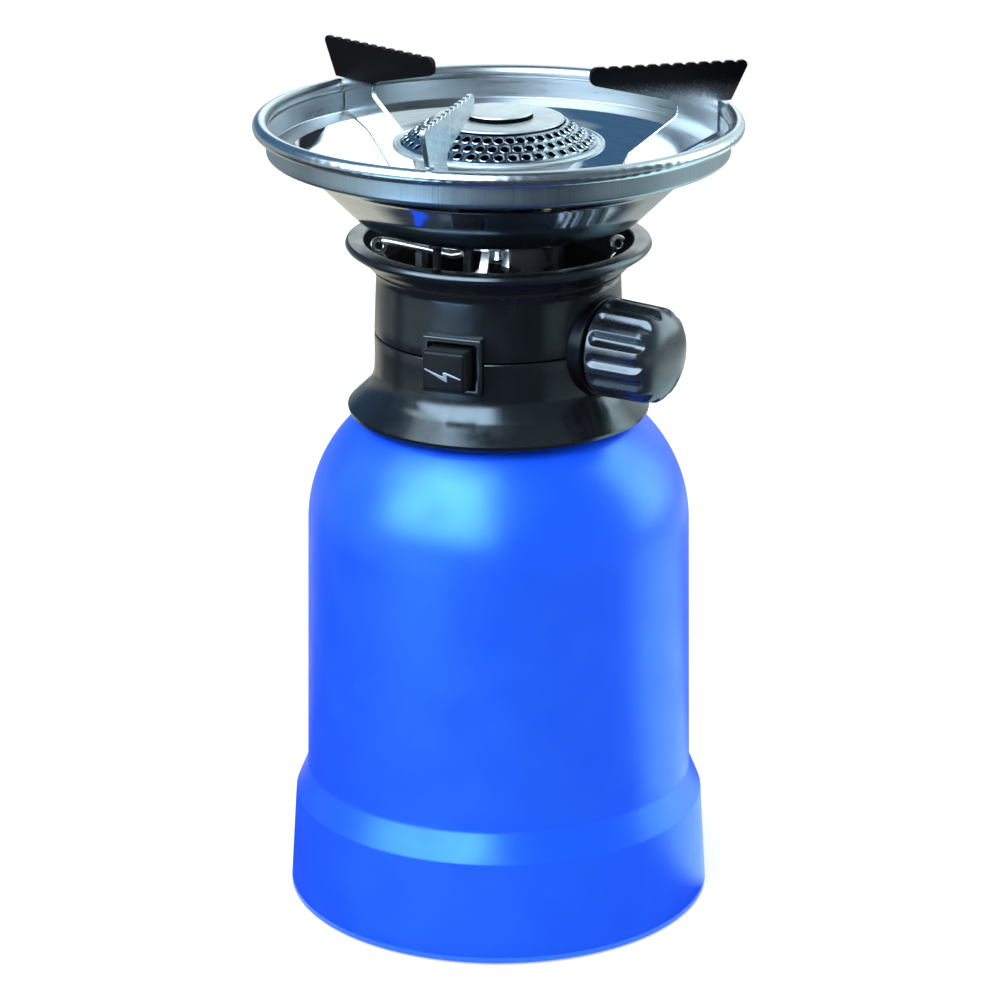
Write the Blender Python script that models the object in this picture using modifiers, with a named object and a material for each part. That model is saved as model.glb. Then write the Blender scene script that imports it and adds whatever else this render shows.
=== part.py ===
"""Portable gas stove on a pierceable cartridge: every separate piece, at real size.

The origin is the centre of the base on the table, +Z is up, and -Y faces the viewer.
All sizes are in metres, through the unit mm.
"""
import bmesh
import bpy
from math import atan2, cos, hypot, pi, radians, sin, tan
from mathutils import Matrix, Vector

mm = 0.001

# How finely round things are drawn
round_steps = 28
bowl_steps = 36
middle_steps = 24
small_steps = 16
fine_steps = 12
shoulder_steps = 5
inner_shoulder_steps = 2
can_shoulder_steps = 3
can_rim_steps = 2
fillet_steps = 2
hole_sides = 6

# Clearance between pieces that touch, and how far a cutter runs past its cut
clearance = 0.3 * mm
overrun = 2.0 * mm

# Gas cartridge, 190 g size
cartridge_radius = 44.6 * mm
cartridge_height = 93.4 * mm
cartridge_top_radius = 14.0 * mm
cartridge_top_step = 3.0 * mm
cartridge_shoulder_drop = 20.0 * mm
cartridge_rim_height = 7.0 * mm
cartridge_rim_inset = 4.0 * mm
cartridge_bottom_dish = 6.0 * mm
cartridge_wall = 0.5 * mm
puncture_radius = 1.4 * mm

# Base closure: the dish that screws into the skirt
closure_floor = 2.2 * mm
closure_recess_depth = 1.2 * mm
closure_foot_width = 5.5 * mm
closure_pad_radius = 24.0 * mm
closure_wall = 2.4 * mm
pedestal_inset = 4.4 * mm
pedestal_wall = 2.2 * mm
pedestal_rise = 6.9 * mm

# Housing: the blue shell with its flared skirt, fitted round the cartridge
housing_wall = 1.4 * mm
housing_lift = 0.5 * mm
housing_room = 0.6 * mm
body_taper = 1.1 * mm
skirt_step = 3.0 * mm
skirt_taper = 1.6 * mm
skirt_top_height = 25.6 * mm
skirt_slope_height = 7.2 * mm
skirt_fillet = 2.2 * mm
shoulder_rise = 36.0 * mm
shoulder_drop = 8.0 * mm
neck_flat_angle = 55.6
inner_shoulder_angle = 51.6
ledge_rise = 4.9 * mm
ledge_width = 1.9 * mm
ledge_thickness = 2.0 * mm
neck_land = 6.1 * mm
neck_sleeve_wall = 2.0 * mm
neck_sleeve_length = 11.0 * mm

# Collar: two black mouldings that meet at the seam
collar_underside_rise = 0.3 * mm
collar_inner_radius = 28.1 * mm
collar_wall = 1.8 * mm
collar_neck_step = 4.1 * mm
collar_floor_thickness = 2.4 * mm
spigot_wall = 2.7 * mm
spigot_length = 13.0 * mm
lip_drop = 1.4 * mm
lip_edge = 1.0 * mm
lip_wall = 1.5 * mm
lip_reach = 3.0 * mm
flare_spread = 3.4 * mm
flare_middle_rise = 3.8 * mm
flare_rise = 8.4 * mm
flare_step = 0.2 * mm
seam_rise = 18.0 * mm
lap_length = 1.8 * mm
neck_rise = 33.6 * mm
neck_taper = 0.6 * mm
flange_root_step = 3.2 * mm
flange_root_rise = 2.6 * mm
flange_reach = 4.2 * mm
flange_bottom_rise = 2.6 * mm
flange_middle_rise = 1.0 * mm
flange_top_rise = 0.9 * mm
flange_rim = 4.4 * mm
flange_wall = 2.0 * mm
flange_fillet = 0.7 * mm

# Carrier plate on the collar's floor, with its three screws
plate_margin = 0.7 * mm
plate_thickness = 1.5 * mm
screw_azimuths = (50.0, 170.0, 290.0)
screw_inset = 3.0 * mm
screw_shank_radius = 1.3 * mm
screw_head_radius = 2.6 * mm
screw_head_height = 1.7 * mm
screw_head_top_share = 0.8
screw_head_side_share = 0.6

# Bowl carrier: a steel spider whose legs stand on the plate
carrier_sheet = 1.5 * mm
carrier_leg_width = 8.0 * mm
carrier_leg_inset = 4.9 * mm
carrier_bore_room = 0.8 * mm
carrier_foot_length = 8.2 * mm

# Valve body, brass, on the centre line
valve_radius = 9.0 * mm
valve_top_rise = 8.9 * mm
valve_stem_radius = 6.0 * mm
valve_foot_radius = 8.2 * mm
valve_foot_thickness = 2.4 * mm
valve_neck_radius = 5.5 * mm
valve_neck_length = 4.5 * mm
valve_boss_radius = 6.0 * mm
valve_seat_reach = 2.0 * mm
valve_nut_wall = 3.2 * mm
valve_nut_thickness = 3.6 * mm

# Cartridge seal and piercing needle
seal_radius = 7.0 * mm
seal_thickness = 2.0 * mm
needle_radius = 1.0 * mm
needle_reach = 7.5 * mm
needle_root = 7.0 * mm
needle_point = 2.0 * mm

# Injector
injector_thread_radius = 2.4 * mm
injector_thread_length = 5.0 * mm
injector_hex_radius = 4.2 * mm
injector_hex_height = 2.8 * mm
injector_tip_radius = 1.2 * mm
injector_tip_height = 3.0 * mm

# Spindle, gland and control knob, on one radial axis
knob_azimuth = -34.0
knob_rise = 18.6 * mm
spindle_radius = 3.0 * mm
spindle_cone = 3.0 * mm
spindle_point_share = 0.33
spindle_knob_depth = 9.0 * mm
gland_radius = 7.0 * mm
gland_length = 4.0 * mm
gland_room = 2.3 * mm
gland_pocket_radius = 5.3 * mm
gland_pocket_depth = 2.5 * mm
spindle_seal_wire = 0.85 * mm
spindle_seal_steps = 6
knob_radius = 11.8 * mm
knob_taper = 0.3 * mm
knob_length = 12.6 * mm
knob_dome = 4.7 * mm
knob_dome_share = 0.55
knob_gap = 0.5 * mm
knob_hub_radius = 5.4 * mm
knob_hub_inside = 1.5 * mm
knob_groove_count = 14
knob_groove_radius = 2.1 * mm
knob_groove_depth = 0.95 * mm
knob_groove_margin = 0.5 * mm
knob_groove_overrun = 2.0 * mm
knob_groove_steps = 2
knob_ring_margin = 0.7 * mm
knob_ring_stand = 1.2 * mm
knob_ring_sleeve_wall = 1.4 * mm

# Igniter: push button in its frame, piezo module behind it
button_azimuth = 249.5
button_rise = 17.4 * mm
button_width = 10.6 * mm
button_depth = 9.6 * mm
button_gap = 0.8 * mm
button_stand = 5.4 * mm
button_flange_room = 1.5 * mm
button_flange_thickness = 1.4 * mm
button_flange_margin = 2.6 * mm
button_edge = 0.8 * mm
button_stem_radius = 2.0 * mm
button_travel = 3.0 * mm
bezel_stand = 1.5 * mm
bezel_border = 0.6 * mm
bezel_sleeve = 0.6 * mm
module_room = 1.4 * mm
module_width_share = 0.69
module_top_rise = 8.5 * mm
spring_radius = 3.3 * mm
spring_wire = 0.4 * mm
spring_packed_length = 3.4 * mm
spring_turns = 4
spring_points_per_turn = 8

# Mixing tube
tube_inset = 0.2 * mm
tube_wall = 0.8 * mm
tube_top_rise = 7.9 * mm
air_hole_radius = 2.8 * mm
air_hole_count = 4
air_hole_rise = 9.2 * mm
first_air_hole = 45.0

# Bowl, the wind shield: sheet with a rolled bead
bowl_sheet = 0.7 * mm
bowl_base_rise = 3.9 * mm
bowl_foot_inset = 1.8 * mm
bowl_knuckle_run = 3.5 * mm
bowl_knuckle_rise = 2.4 * mm
bowl_middle_run = 6.4 * mm
bowl_middle_rise = 5.7 * mm
bowl_slope_run = 14.6 * mm
bowl_slope_rise = 9.6 * mm
bowl_wall_height = 6.3 * mm
bowl_bend_fillet = 1.6 * mm
bowl_bore_room = 0.6 * mm
bead_radius = 1.9 * mm
bead_stand = 1.4 * mm
bead_start_angle = 215.0
bead_end_angle = -120.0
bead_steps = 7

# Burner: cup, perforated ring and cap
cup_sleeve_wall = 1.0 * mm
cup_neck_rise = 8.4 * mm
cup_inset = 5.3 * mm
cup_flange_width = 3.6 * mm
cup_flange_rise = 20.6 * mm
cup_sheet = 0.9 * mm
ring_inset = 1.9 * mm
ring_run = 7.1 * mm
ring_rise = 5.0 * mm
ring_sheet = 0.9 * mm
port_radius = 0.85 * mm
ports_per_row = 18
port_row_shares = (0.22, 0.50, 0.78)
cap_inset = 0.3 * mm
cap_thickness = 0.7 * mm
cap_edge = 0.25 * mm
cap_spigot_inset = 1.5 * mm
cap_spigot_depth = 1.0 * mm
cap_button_radius = 9.0 * mm
cap_button_rise = 1.0 * mm
cap_groove_depth = 0.7 * mm

# Pot supports: three upright plates with toothed tops
support_azimuths = (14.0, 134.0, 254.0)
support_sheet = 1.2 * mm
support_crown = 9.7 * mm
support_tip_reach = 5.2 * mm
support_shelf = 1.0 * mm
support_nose_inset = 4.8 * mm
support_nose_depth = 4.4 * mm
support_nose_radius = 1.8 * mm
support_arm_run = 16.8 * mm
support_arm_depth = 9.1 * mm
support_arm_radius = 3.0 * mm
support_shin_run = 5.0 * mm
support_shin_rise = 11.2 * mm
support_over_bead = 0.4 * mm
support_toe_inset = 3.5 * mm
support_toe_width = 3.0 * mm
support_toe_rise = 2.6 * mm
support_tab_drop = 1.2 * mm
support_corner = 1.2 * mm
tooth_count = 11
tooth_depth = 0.5 * mm
tooth_margin = 2.0 * mm
tooth_land_share = 0.55

# Ignition electrode in its ceramic, and its lead
electrode_azimuth = 238.0
electrode_gap = 1.8 * mm
insulator_radius = 2.0 * mm
insulator_flange_radius = 3.0 * mm
insulator_flange_height = 1.4 * mm
insulator_rise = 17.4 * mm
insulator_tail = 2.6 * mm
electrode_radius = 0.6 * mm
electrode_rise = 5.0 * mm
electrode_bend = 3.6 * mm
electrode_knee_shares = (0.33, 0.85)
electrode_tail = 1.5 * mm
lead_radius = 0.9 * mm
lead_height_shares = (0.25, 0.5, 0.75)
lead_middle_shares = (0.5, 0.45)
lead_steps = 4


# Radii and heights that follow from the sizes above, from the cartridge outward and upward
cartridge_bottom = closure_recess_depth + closure_floor + pedestal_rise + clearance
cartridge_top = cartridge_bottom + cartridge_height
pedestal_radius = cartridge_radius - pedestal_inset
body_top_radius = cartridge_radius + housing_room + housing_wall
body_bottom_radius = body_top_radius + body_taper
skirt_top_radius = body_bottom_radius + skirt_step
skirt_bottom_radius = skirt_top_radius + skirt_taper
body_bottom_height = skirt_top_height + skirt_slope_height
neck_bore_radius = collar_inner_radius - collar_neck_step
neck_flat_radius = neck_bore_radius + neck_land
shoulder_run = (body_top_radius - neck_flat_radius) / (1 - cos(radians(neck_flat_angle)))
shoulder_centre = (body_top_radius - shoulder_run, cartridge_top - shoulder_drop)
neck_top = shoulder_centre[1] + shoulder_rise * sin(radians(neck_flat_angle))
ledge_height = closure_recess_depth + closure_floor + ledge_rise

collar_underside = neck_top + collar_underside_rise
collar_floor_top = collar_underside + collar_floor_thickness
spigot_radius = neck_bore_radius - clearance
seam_radius = collar_inner_radius + collar_wall
seam_height = collar_underside + seam_rise
lap_radius = collar_inner_radius + collar_wall / 2
flare_top_radius = seam_radius + flare_step
flare_top_height = collar_underside + flare_rise
flare_middle_radius = flare_top_radius + flare_spread
flare_middle_height = collar_underside + flare_middle_rise
lip_radius = flare_middle_radius + lip_reach
lip_bottom = collar_underside - lip_drop
neck_top_radius = seam_radius - neck_taper
neck_top_height = collar_underside + neck_rise
flange_root_radius = neck_top_radius + flange_root_step
flange_root_height = neck_top_height + flange_root_rise
flange_radius = flange_root_radius + flange_reach
flange_opening_radius = flange_radius - flange_rim
flange_bottom = flange_root_height + flange_bottom_rise
flange_middle = flange_bottom + flange_middle_rise
flange_top = flange_middle + flange_top_rise

plate_bottom = collar_floor_top + clearance
plate_top = plate_bottom + plate_thickness
plate_radius = collar_inner_radius - plate_margin
screw_circle_radius = plate_radius - screw_inset
foot_top = plate_top + clearance + carrier_sheet
carrier_leg_radius = screw_circle_radius - carrier_leg_inset

knob_height = collar_underside + knob_rise
knob_spot = (0, 0, knob_height)
knob_ring_radius = knob_radius + knob_ring_margin
knob_ring_front = seam_radius + knob_ring_stand
knob_start = knob_ring_front + knob_gap
knob_shoulder = knob_start + knob_length
knob_end = knob_shoulder + knob_dome
knob_hub_start = collar_inner_radius - knob_hub_inside
valve_boss_reach = knob_hub_start - gland_room - gland_length - clearance

valve_bottom = cartridge_top + seal_thickness + 2 * clearance
valve_top_height = knob_height + valve_top_rise
valve_neck_top = valve_top_height + valve_neck_length
tube_radius = valve_radius - tube_inset
tube_bottom = valve_top_height + clearance

button_height = collar_underside + button_rise
button_spot = (0, 0, button_height)
bezel_front = seam_radius + bezel_stand
button_reach = bezel_front + button_stand
button_flange_front = collar_inner_radius - button_flange_room
button_flange_back = button_flange_front - button_flange_thickness
module_front = button_flange_back - button_travel - spring_packed_length
module_depth = module_front - valve_radius - module_room
module_width = module_front * module_width_share
module_top_height = button_height + module_top_rise

bowl_base = flange_top + bowl_base_rise
bowl_foot_radius = flange_opening_radius - bowl_foot_inset
bowl_knuckle_radius = bowl_foot_radius + bowl_knuckle_run
bowl_knuckle_height = bowl_base + bowl_knuckle_rise
bowl_middle_radius = bowl_knuckle_radius + bowl_middle_run
bowl_middle_height = bowl_knuckle_height + bowl_middle_rise
bowl_wall_radius = bowl_middle_radius + bowl_slope_run
bowl_bend_height = bowl_middle_height + bowl_slope_rise
bowl_bore_radius = tube_radius + bowl_bore_room
bowl_floor_top = bowl_base + bowl_sheet
bead_height = bowl_bend_height + bowl_wall_height
bead_centre_radius = bowl_wall_radius + bead_stand
carrier_top = bowl_base - clearance

cup_sleeve_radius = tube_radius + clearance + cup_sleeve_wall
cup_flange_radius = bowl_foot_radius - cup_inset
cup_cone_radius = cup_flange_radius - cup_flange_width
cup_neck_height = bowl_base + cup_neck_rise
cup_flange_height = bowl_base + cup_flange_rise
ring_bottom_radius = cup_flange_radius - ring_inset
ring_top_radius = ring_bottom_radius - ring_run
ring_top_height = cup_flange_height + ring_rise
cap_low = ring_top_height + clearance
cap_height = cap_low + cap_thickness
cap_radius = ring_top_radius - cap_inset
electrode_circle_radius = cup_flange_radius + electrode_gap

support_shelf_height = bead_height + bead_radius + support_over_bead
support_top_height = support_shelf_height + support_crown
support_tip_radius = bead_centre_radius + support_tip_reach
support_toe_radius = bowl_foot_radius - support_toe_inset
support_inner_radius = support_toe_radius - support_nose_inset


def clear_scene():
    for thing in list(bpy.data.objects):
        bpy.data.objects.remove(thing)


def new_collection(name):
    collection = bpy.data.collections.new(name)
    bpy.context.scene.collection.children.link(collection)
    return collection


clear_scene()
stove = new_collection("portable_gas_stove")
cutters = new_collection("cutters")


def finish(name, colour, roughness, metallic):
    """A Principled material with the piece's colour, roughness and metallic value."""
    material = bpy.data.materials.new(name)
    material.use_nodes = True
    shader = material.node_tree.nodes["Principled BSDF"]
    shader.inputs["Base Color"].default_value = (*colour, 1.0)
    shader.inputs["Roughness"].default_value = roughness
    shader.inputs["Metallic"].default_value = metallic
    material.diffuse_color = (*colour, 1.0)
    return material


blue = ("blue_enamel", (0.006, 0.10, 0.90), 0.45, 0.0)
black = ("black_moulding", (0.012, 0.013, 0.016), 0.25, 0.0)
soft_black = ("soft_black", (0.016, 0.017, 0.020), 0.42, 0.0)
steel = ("stainless", (0.62, 0.64, 0.65), 0.22, 1.0)
zinc_steel = ("zinc_steel", (0.50, 0.52, 0.54), 0.38, 1.0)
aluminium = ("burner_aluminium", (0.72, 0.75, 0.76), 0.45, 1.0)
brass = ("brass", (0.72, 0.52, 0.20), 0.32, 1.0)
rubber = ("seal_rubber", (0.02, 0.02, 0.02), 0.80, 0.0)
ceramic = ("ceramic", (0.86, 0.85, 0.80), 0.35, 0.0)
sleeve = ("lead_sleeve", (0.03, 0.03, 0.03), 0.50, 0.0)
painted = ("cartridge_paint", (0.05, 0.16, 0.55), 0.35, 0.2)


def place(name, mesh, look, spot=(0, 0, 0), turn=(0, 0, 0)):
    """One visible piece, in the stove's collection."""
    piece = bpy.data.objects.new(name, mesh)
    mesh.materials.append(finish(f"{name}_{look[0]}", *look[1:]))
    piece.location = spot
    piece.rotation_euler = turn
    stove.objects.link(piece)
    return piece


def place_cutter(name, mesh, spot=(0, 0, 0), turn=(0, 0, 0)):
    """A hidden cutter, in its own collection."""
    cutter = bpy.data.objects.new(name, mesh)
    cutter.location = spot
    cutter.rotation_euler = turn
    cutter.hide_render = True
    cutter.display_type = "WIRE"
    cutters.objects.link(cutter)
    return cutter


def boolean(piece, tool, operation="DIFFERENCE"):
    change = piece.modifiers.new(f"{operation.lower()}_{tool.name}", "BOOLEAN")
    change.operation = operation
    change.solver = "EXACT"
    change.object = tool


def smooth(mesh):
    mesh.shade_smooth()
    mesh.set_sharp_from_angle(angle=radians(30))
    return mesh


def polar(radius, azimuth, height=0):
    """A point at a radius and an azimuth in degrees."""
    return (radius * cos(radians(azimuth)), radius * sin(radians(azimuth)), height)


def outward(azimuth):
    """Rotation that turns local Z to the radial direction, local Y up and local X round."""
    return (pi / 2, 0, radians(azimuth) + pi / 2)


def upright(azimuth):
    """Rotation that stands a flat XY outline on the radial plane, X outward and Y up."""
    return (pi / 2, 0, radians(azimuth))


def arc(centre, run, rise, start, end, steps):
    """Points on an ellipse about a centre, from one angle to another in degrees."""
    points = []
    for step in range(steps + 1):
        angle = radians(start + (end - start) * step / steps)
        points.append((centre[0] + run * cos(angle), centre[1] + rise * sin(angle)))
    return points


def rounded(corners, closed=True):
    """An outline whose corners (x, y, fillet) turn into short arcs; (x, y) stays sharp."""
    points = []
    count = len(corners)
    for index, corner in enumerate(corners):
        here = Vector(corner[:2])
        at_end = not closed and index in (0, count - 1)
        if len(corner) < 3 or at_end:
            points.append(tuple(here))
            continue
        before = Vector(corners[index - 1][:2]) - here
        after = Vector(corners[(index + 1) % count][:2]) - here
        half = before.angle(after) / 2
        reach = min(corner[2] / tan(half), before.length / 2, after.length / 2)
        radius = reach * tan(half)
        centre = here + (before.normalized() + after.normalized()).normalized() * radius / sin(half)
        first = here + before.normalized() * reach - centre
        last = here + after.normalized() * reach - centre
        start = atan2(first.y, first.x)
        sweep = (atan2(last.y, last.x) - start + pi) % (2 * pi) - pi
        for step in range(fillet_steps + 1):
            angle = start + sweep * step / fillet_steps
            points.append((centre.x + radius * cos(angle), centre.y + radius * sin(angle)))
    return points


def offset(points, distance):
    """An open line moved sideways by a distance, to the right of its direction."""
    lines = [Vector(point) for point in points]
    moved = []
    for index, here in enumerate(lines):
        before = (here - lines[index - 1]).normalized() if index else None
        after = (lines[index + 1] - here).normalized() if index < len(lines) - 1 else None
        before = before or after
        after = after or before
        side = Vector((before.y, -before.x)) + Vector((after.y, -after.x))
        side.normalize()
        stretch = side.dot(Vector((before.y, -before.x)))
        moved.append(tuple(here + side * distance / stretch))
    return moved


def turned_mesh(name, outline, steps=round_steps):
    """A solid of revolution about Z. The outline runs down its outer side.

    It starts and ends on the axis, or it is a closed loop away from it.
    """
    mesh = bpy.data.meshes.new(name)
    count = len(outline)
    edges = [(index, index + 1) for index in range(count - 1)]
    if outline[0][0] > 0:
        edges.append((count - 1, 0))
    mesh.from_pydata([(x, 0, z) for x, z in outline], edges, [])
    holder = bpy.data.objects.new(name, mesh)
    bpy.context.scene.collection.objects.link(holder)
    screw = holder.modifiers.new("turn", "SCREW")
    screw.steps = steps
    screw.render_steps = steps
    screw.use_merge_vertices = True
    screw.merge_threshold = 0.00001
    return applied(holder)


def applied(holder, weld=0.000001):
    """The mesh that an object's modifiers or curve settings give, with the object removed."""
    bpy.context.view_layer.update()
    seen = holder.evaluated_get(bpy.context.evaluated_depsgraph_get())
    mesh = bpy.data.meshes.new_from_object(seen)
    mesh.name = holder.name
    mesh.materials.clear()
    bpy.data.objects.remove(holder)
    shape = bmesh.new()
    shape.from_mesh(mesh)
    bmesh.ops.remove_doubles(shape, verts=shape.verts, dist=weld)
    bmesh.ops.recalc_face_normals(shape, faces=shape.faces)
    shape.to_mesh(mesh)
    shape.free()
    return smooth(mesh)


def turned(name, outline, look, steps=round_steps, spot=(0, 0, 0), turn=(0, 0, 0)):
    return place(name, turned_mesh(name, outline, steps), look, spot, turn)


def bar(name, radius, start, end, sides=small_steps, top_radius=None):
    """A mesh cylinder or cone along Z between two heights."""
    mesh = bpy.data.meshes.new(name)
    shape = bmesh.new()
    top = radius if top_radius is None else top_radius
    middle = Matrix.Translation((0, 0, (start + end) / 2))
    bmesh.ops.create_cone(shape, cap_ends=True, segments=sides, radius1=radius, radius2=top,
                          depth=end - start, matrix=middle)
    shape.to_mesh(mesh)
    shape.free()
    return smooth(mesh)


def block(name, low, high, edge=0):
    """A mesh box between two corners, with its edges rounded by a bevel."""
    mesh = bpy.data.meshes.new(name)
    shape = bmesh.new()
    bmesh.ops.create_cube(shape, size=1)
    for corner in shape.verts:
        corner.co = Vector([low[axis] if corner.co[axis] < 0 else high[axis] for axis in range(3)])
    if edge:
        bmesh.ops.bevel(shape, geom=shape.edges[:], offset=edge, segments=2, profile=0.5,
                        affect="EDGES")
    shape.to_mesh(mesh)
    shape.free()
    return smooth(mesh)


def plate_mesh(name, outline, thickness):
    """A flat plate in the XY plane, centred on its thickness."""
    flat = bpy.data.curves.new(name, "CURVE")
    flat.dimensions = "2D"
    flat.fill_mode = "BOTH"
    flat.extrude = thickness / 2
    line = flat.splines.new("POLY")
    line.points.add(len(outline) - 1)
    for point, spot in zip(line.points, outline):
        point.co = (*spot, 0, 1)
    line.use_cyclic_u = True
    holder = bpy.data.objects.new(name, flat)
    bpy.context.scene.collection.objects.link(holder)
    return applied(holder)


def wire_mesh(name, route, radius, resolution=2):
    """A round wire along a list of points, with filled ends."""
    path = bpy.data.curves.new(name, "CURVE")
    path.dimensions = "3D"
    path.bevel_depth = radius
    path.bevel_resolution = resolution
    path.use_fill_caps = True
    line = path.splines.new("POLY")
    line.points.add(len(route) - 1)
    for point, spot in zip(line.points, route):
        point.co = (*spot, 1)
    holder = bpy.data.objects.new(name, path)
    bpy.context.scene.collection.objects.link(holder)
    return applied(holder)


def spread(route, steps):
    """Points of a smooth curve through a route, by Catmull and Rom's formula."""
    spots = [Vector(spot) for spot in route]
    spots = [2 * spots[0] - spots[1]] + spots + [2 * spots[-1] - spots[-2]]
    points = []
    for index in range(1, len(spots) - 2):
        a, b, c, d = spots[index - 1:index + 3]
        for step in range(steps):
            t = step / steps
            point = 2 * b + (c - a) * t + (2 * a - 5 * b + 4 * c - d) * t * t
            point += (3 * b - a - 3 * c + d) * t * t * t
            points.append(point / 2)
    points.append(spots[-2])
    return points


def joined(name, meshes):
    """One cutter mesh out of several that stay apart."""
    shape = bmesh.new()
    for mesh in meshes:
        shape.from_mesh(mesh)
    whole = bpy.data.meshes.new(name)
    shape.to_mesh(whole)
    shape.free()
    return whole


def moved(mesh, matrix):
    mesh.transform(matrix)
    return mesh


def skirt_radius(height):
    """The skirt's outer radius at a height."""
    share = height / skirt_top_height
    return skirt_bottom_radius + (skirt_top_radius - skirt_bottom_radius) * share


closure_radius = skirt_radius(ledge_height) - housing_wall - clearance


def housing():
    """The blue shell: skirt, tapered body, domed shoulder and threaded neck."""
    outer = [(neck_bore_radius, neck_top)]
    outer += arc(shoulder_centre, shoulder_run, shoulder_rise, neck_flat_angle, 0, shoulder_steps)
    outer += rounded([
        (body_top_radius, shoulder_centre[1]),
        (body_bottom_radius, body_bottom_height, skirt_fillet),
        (skirt_top_radius, skirt_top_height, skirt_fillet),
        (skirt_bottom_radius, housing_lift),
    ], closed=False)[1:]
    ledge_top = ledge_height + ledge_thickness
    ledge_radius = closure_radius - ledge_width
    inner = [
        (skirt_bottom_radius - housing_wall, housing_lift),
        (skirt_radius(ledge_height) - housing_wall, ledge_height),
        (ledge_radius, ledge_height),
        (ledge_radius, ledge_top),
        (skirt_radius(ledge_top) - housing_wall, ledge_top),
        (skirt_top_radius - housing_wall, skirt_top_height - housing_wall / 2),
        (body_bottom_radius - housing_wall, body_bottom_height - housing_wall / 2),
    ]
    inner += arc(shoulder_centre, shoulder_run - housing_wall, shoulder_rise - housing_wall,
                 0, inner_shoulder_angle, inner_shoulder_steps)
    sleeve_radius = neck_bore_radius + neck_sleeve_wall
    inner += [
        (sleeve_radius, inner[-1][1]),
        (sleeve_radius, neck_top - neck_sleeve_length),
        (neck_bore_radius, neck_top - neck_sleeve_length),
    ]
    turned("cartridge_housing", outer + inner, blue)


def base_closure():
    """The dish under the cartridge, with its pedestal and the wall that screws in."""
    floor_top = closure_recess_depth + closure_floor
    top = ledge_height - clearance
    pedestal_top = floor_top + pedestal_rise
    pedestal_inner = pedestal_radius - pedestal_wall
    foot_inner = closure_radius - closure_foot_width
    turned("base_closure", [
        (0, floor_top),
        (pedestal_inner, floor_top),
        (pedestal_inner, pedestal_top),
        (pedestal_radius, pedestal_top),
        (pedestal_radius, floor_top),
        (closure_radius - closure_wall, floor_top),
        (closure_radius - closure_wall, top),
        (closure_radius, top),
        (closure_radius, 0),
        (foot_inner, 0),
        (foot_inner, closure_recess_depth),
        (closure_pad_radius + closure_recess_depth, closure_recess_depth),
        (closure_pad_radius, 0),
        (0, 0),
    ], blue)


def gas_cartridge():
    """The can, with the hole that the needle has made in its top."""
    step = cartridge_top - cartridge_top_step
    shoulder = step - cartridge_shoulder_drop
    rim_top = cartridge_bottom + cartridge_rim_height
    foot = cartridge_radius - cartridge_rim_inset
    dish = foot - pedestal_wall - cartridge_rim_inset
    outline = [(puncture_radius, cartridge_top), (cartridge_top_radius, cartridge_top)]
    outline += arc((cartridge_top_radius + puncture_radius, shoulder),
                   cartridge_radius - cartridge_top_radius - puncture_radius,
                   step - shoulder, 90, 0, can_shoulder_steps)
    outline += arc((foot, rim_top), cartridge_rim_inset, cartridge_rim_height, 0, -90,
                   can_rim_steps)
    outline += [
        (dish, cartridge_bottom),
        (dish - cartridge_bottom_dish, cartridge_bottom + cartridge_bottom_dish / 2),
        (0, cartridge_bottom + cartridge_bottom_dish),
    ]
    inside = offset(outline, cartridge_wall)[::-1]
    turned("gas_cartridge", inside + outline, painted, middle_steps)


def wall_openings():
    """Cutters for the knob's hole and the button's window, through both mouldings."""
    sleeve_radius = knob_hub_radius + clearance + knob_ring_sleeve_wall
    knob_hole = place_cutter("cut_knob_hole", bar(
        "cut_knob_hole", sleeve_radius + clearance, collar_inner_radius - 4 * overrun,
        collar_inner_radius + 4 * overrun), knob_spot, outward(knob_azimuth))
    half_x = button_width / 2 + button_gap + bezel_sleeve + clearance
    half_y = button_depth / 2 + button_gap + bezel_sleeve + clearance
    window = place_cutter("cut_button_window", block(
        "cut_button_window", (-half_x, -half_y, collar_inner_radius - 2 * overrun),
        (half_x, half_y, collar_inner_radius + 4 * overrun)), button_spot, outward(button_azimuth))
    return knob_hole, window


def screw_holes(name, radius, low, high):
    """One cutter with the three screw holes."""
    holes = []
    for azimuth in screw_azimuths:
        spot = Matrix.Translation(polar(screw_circle_radius, azimuth))
        holes.append(moved(bar(name, radius, low, high, hole_sides), spot))
    return place_cutter(name, joined(name, holes))


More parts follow.
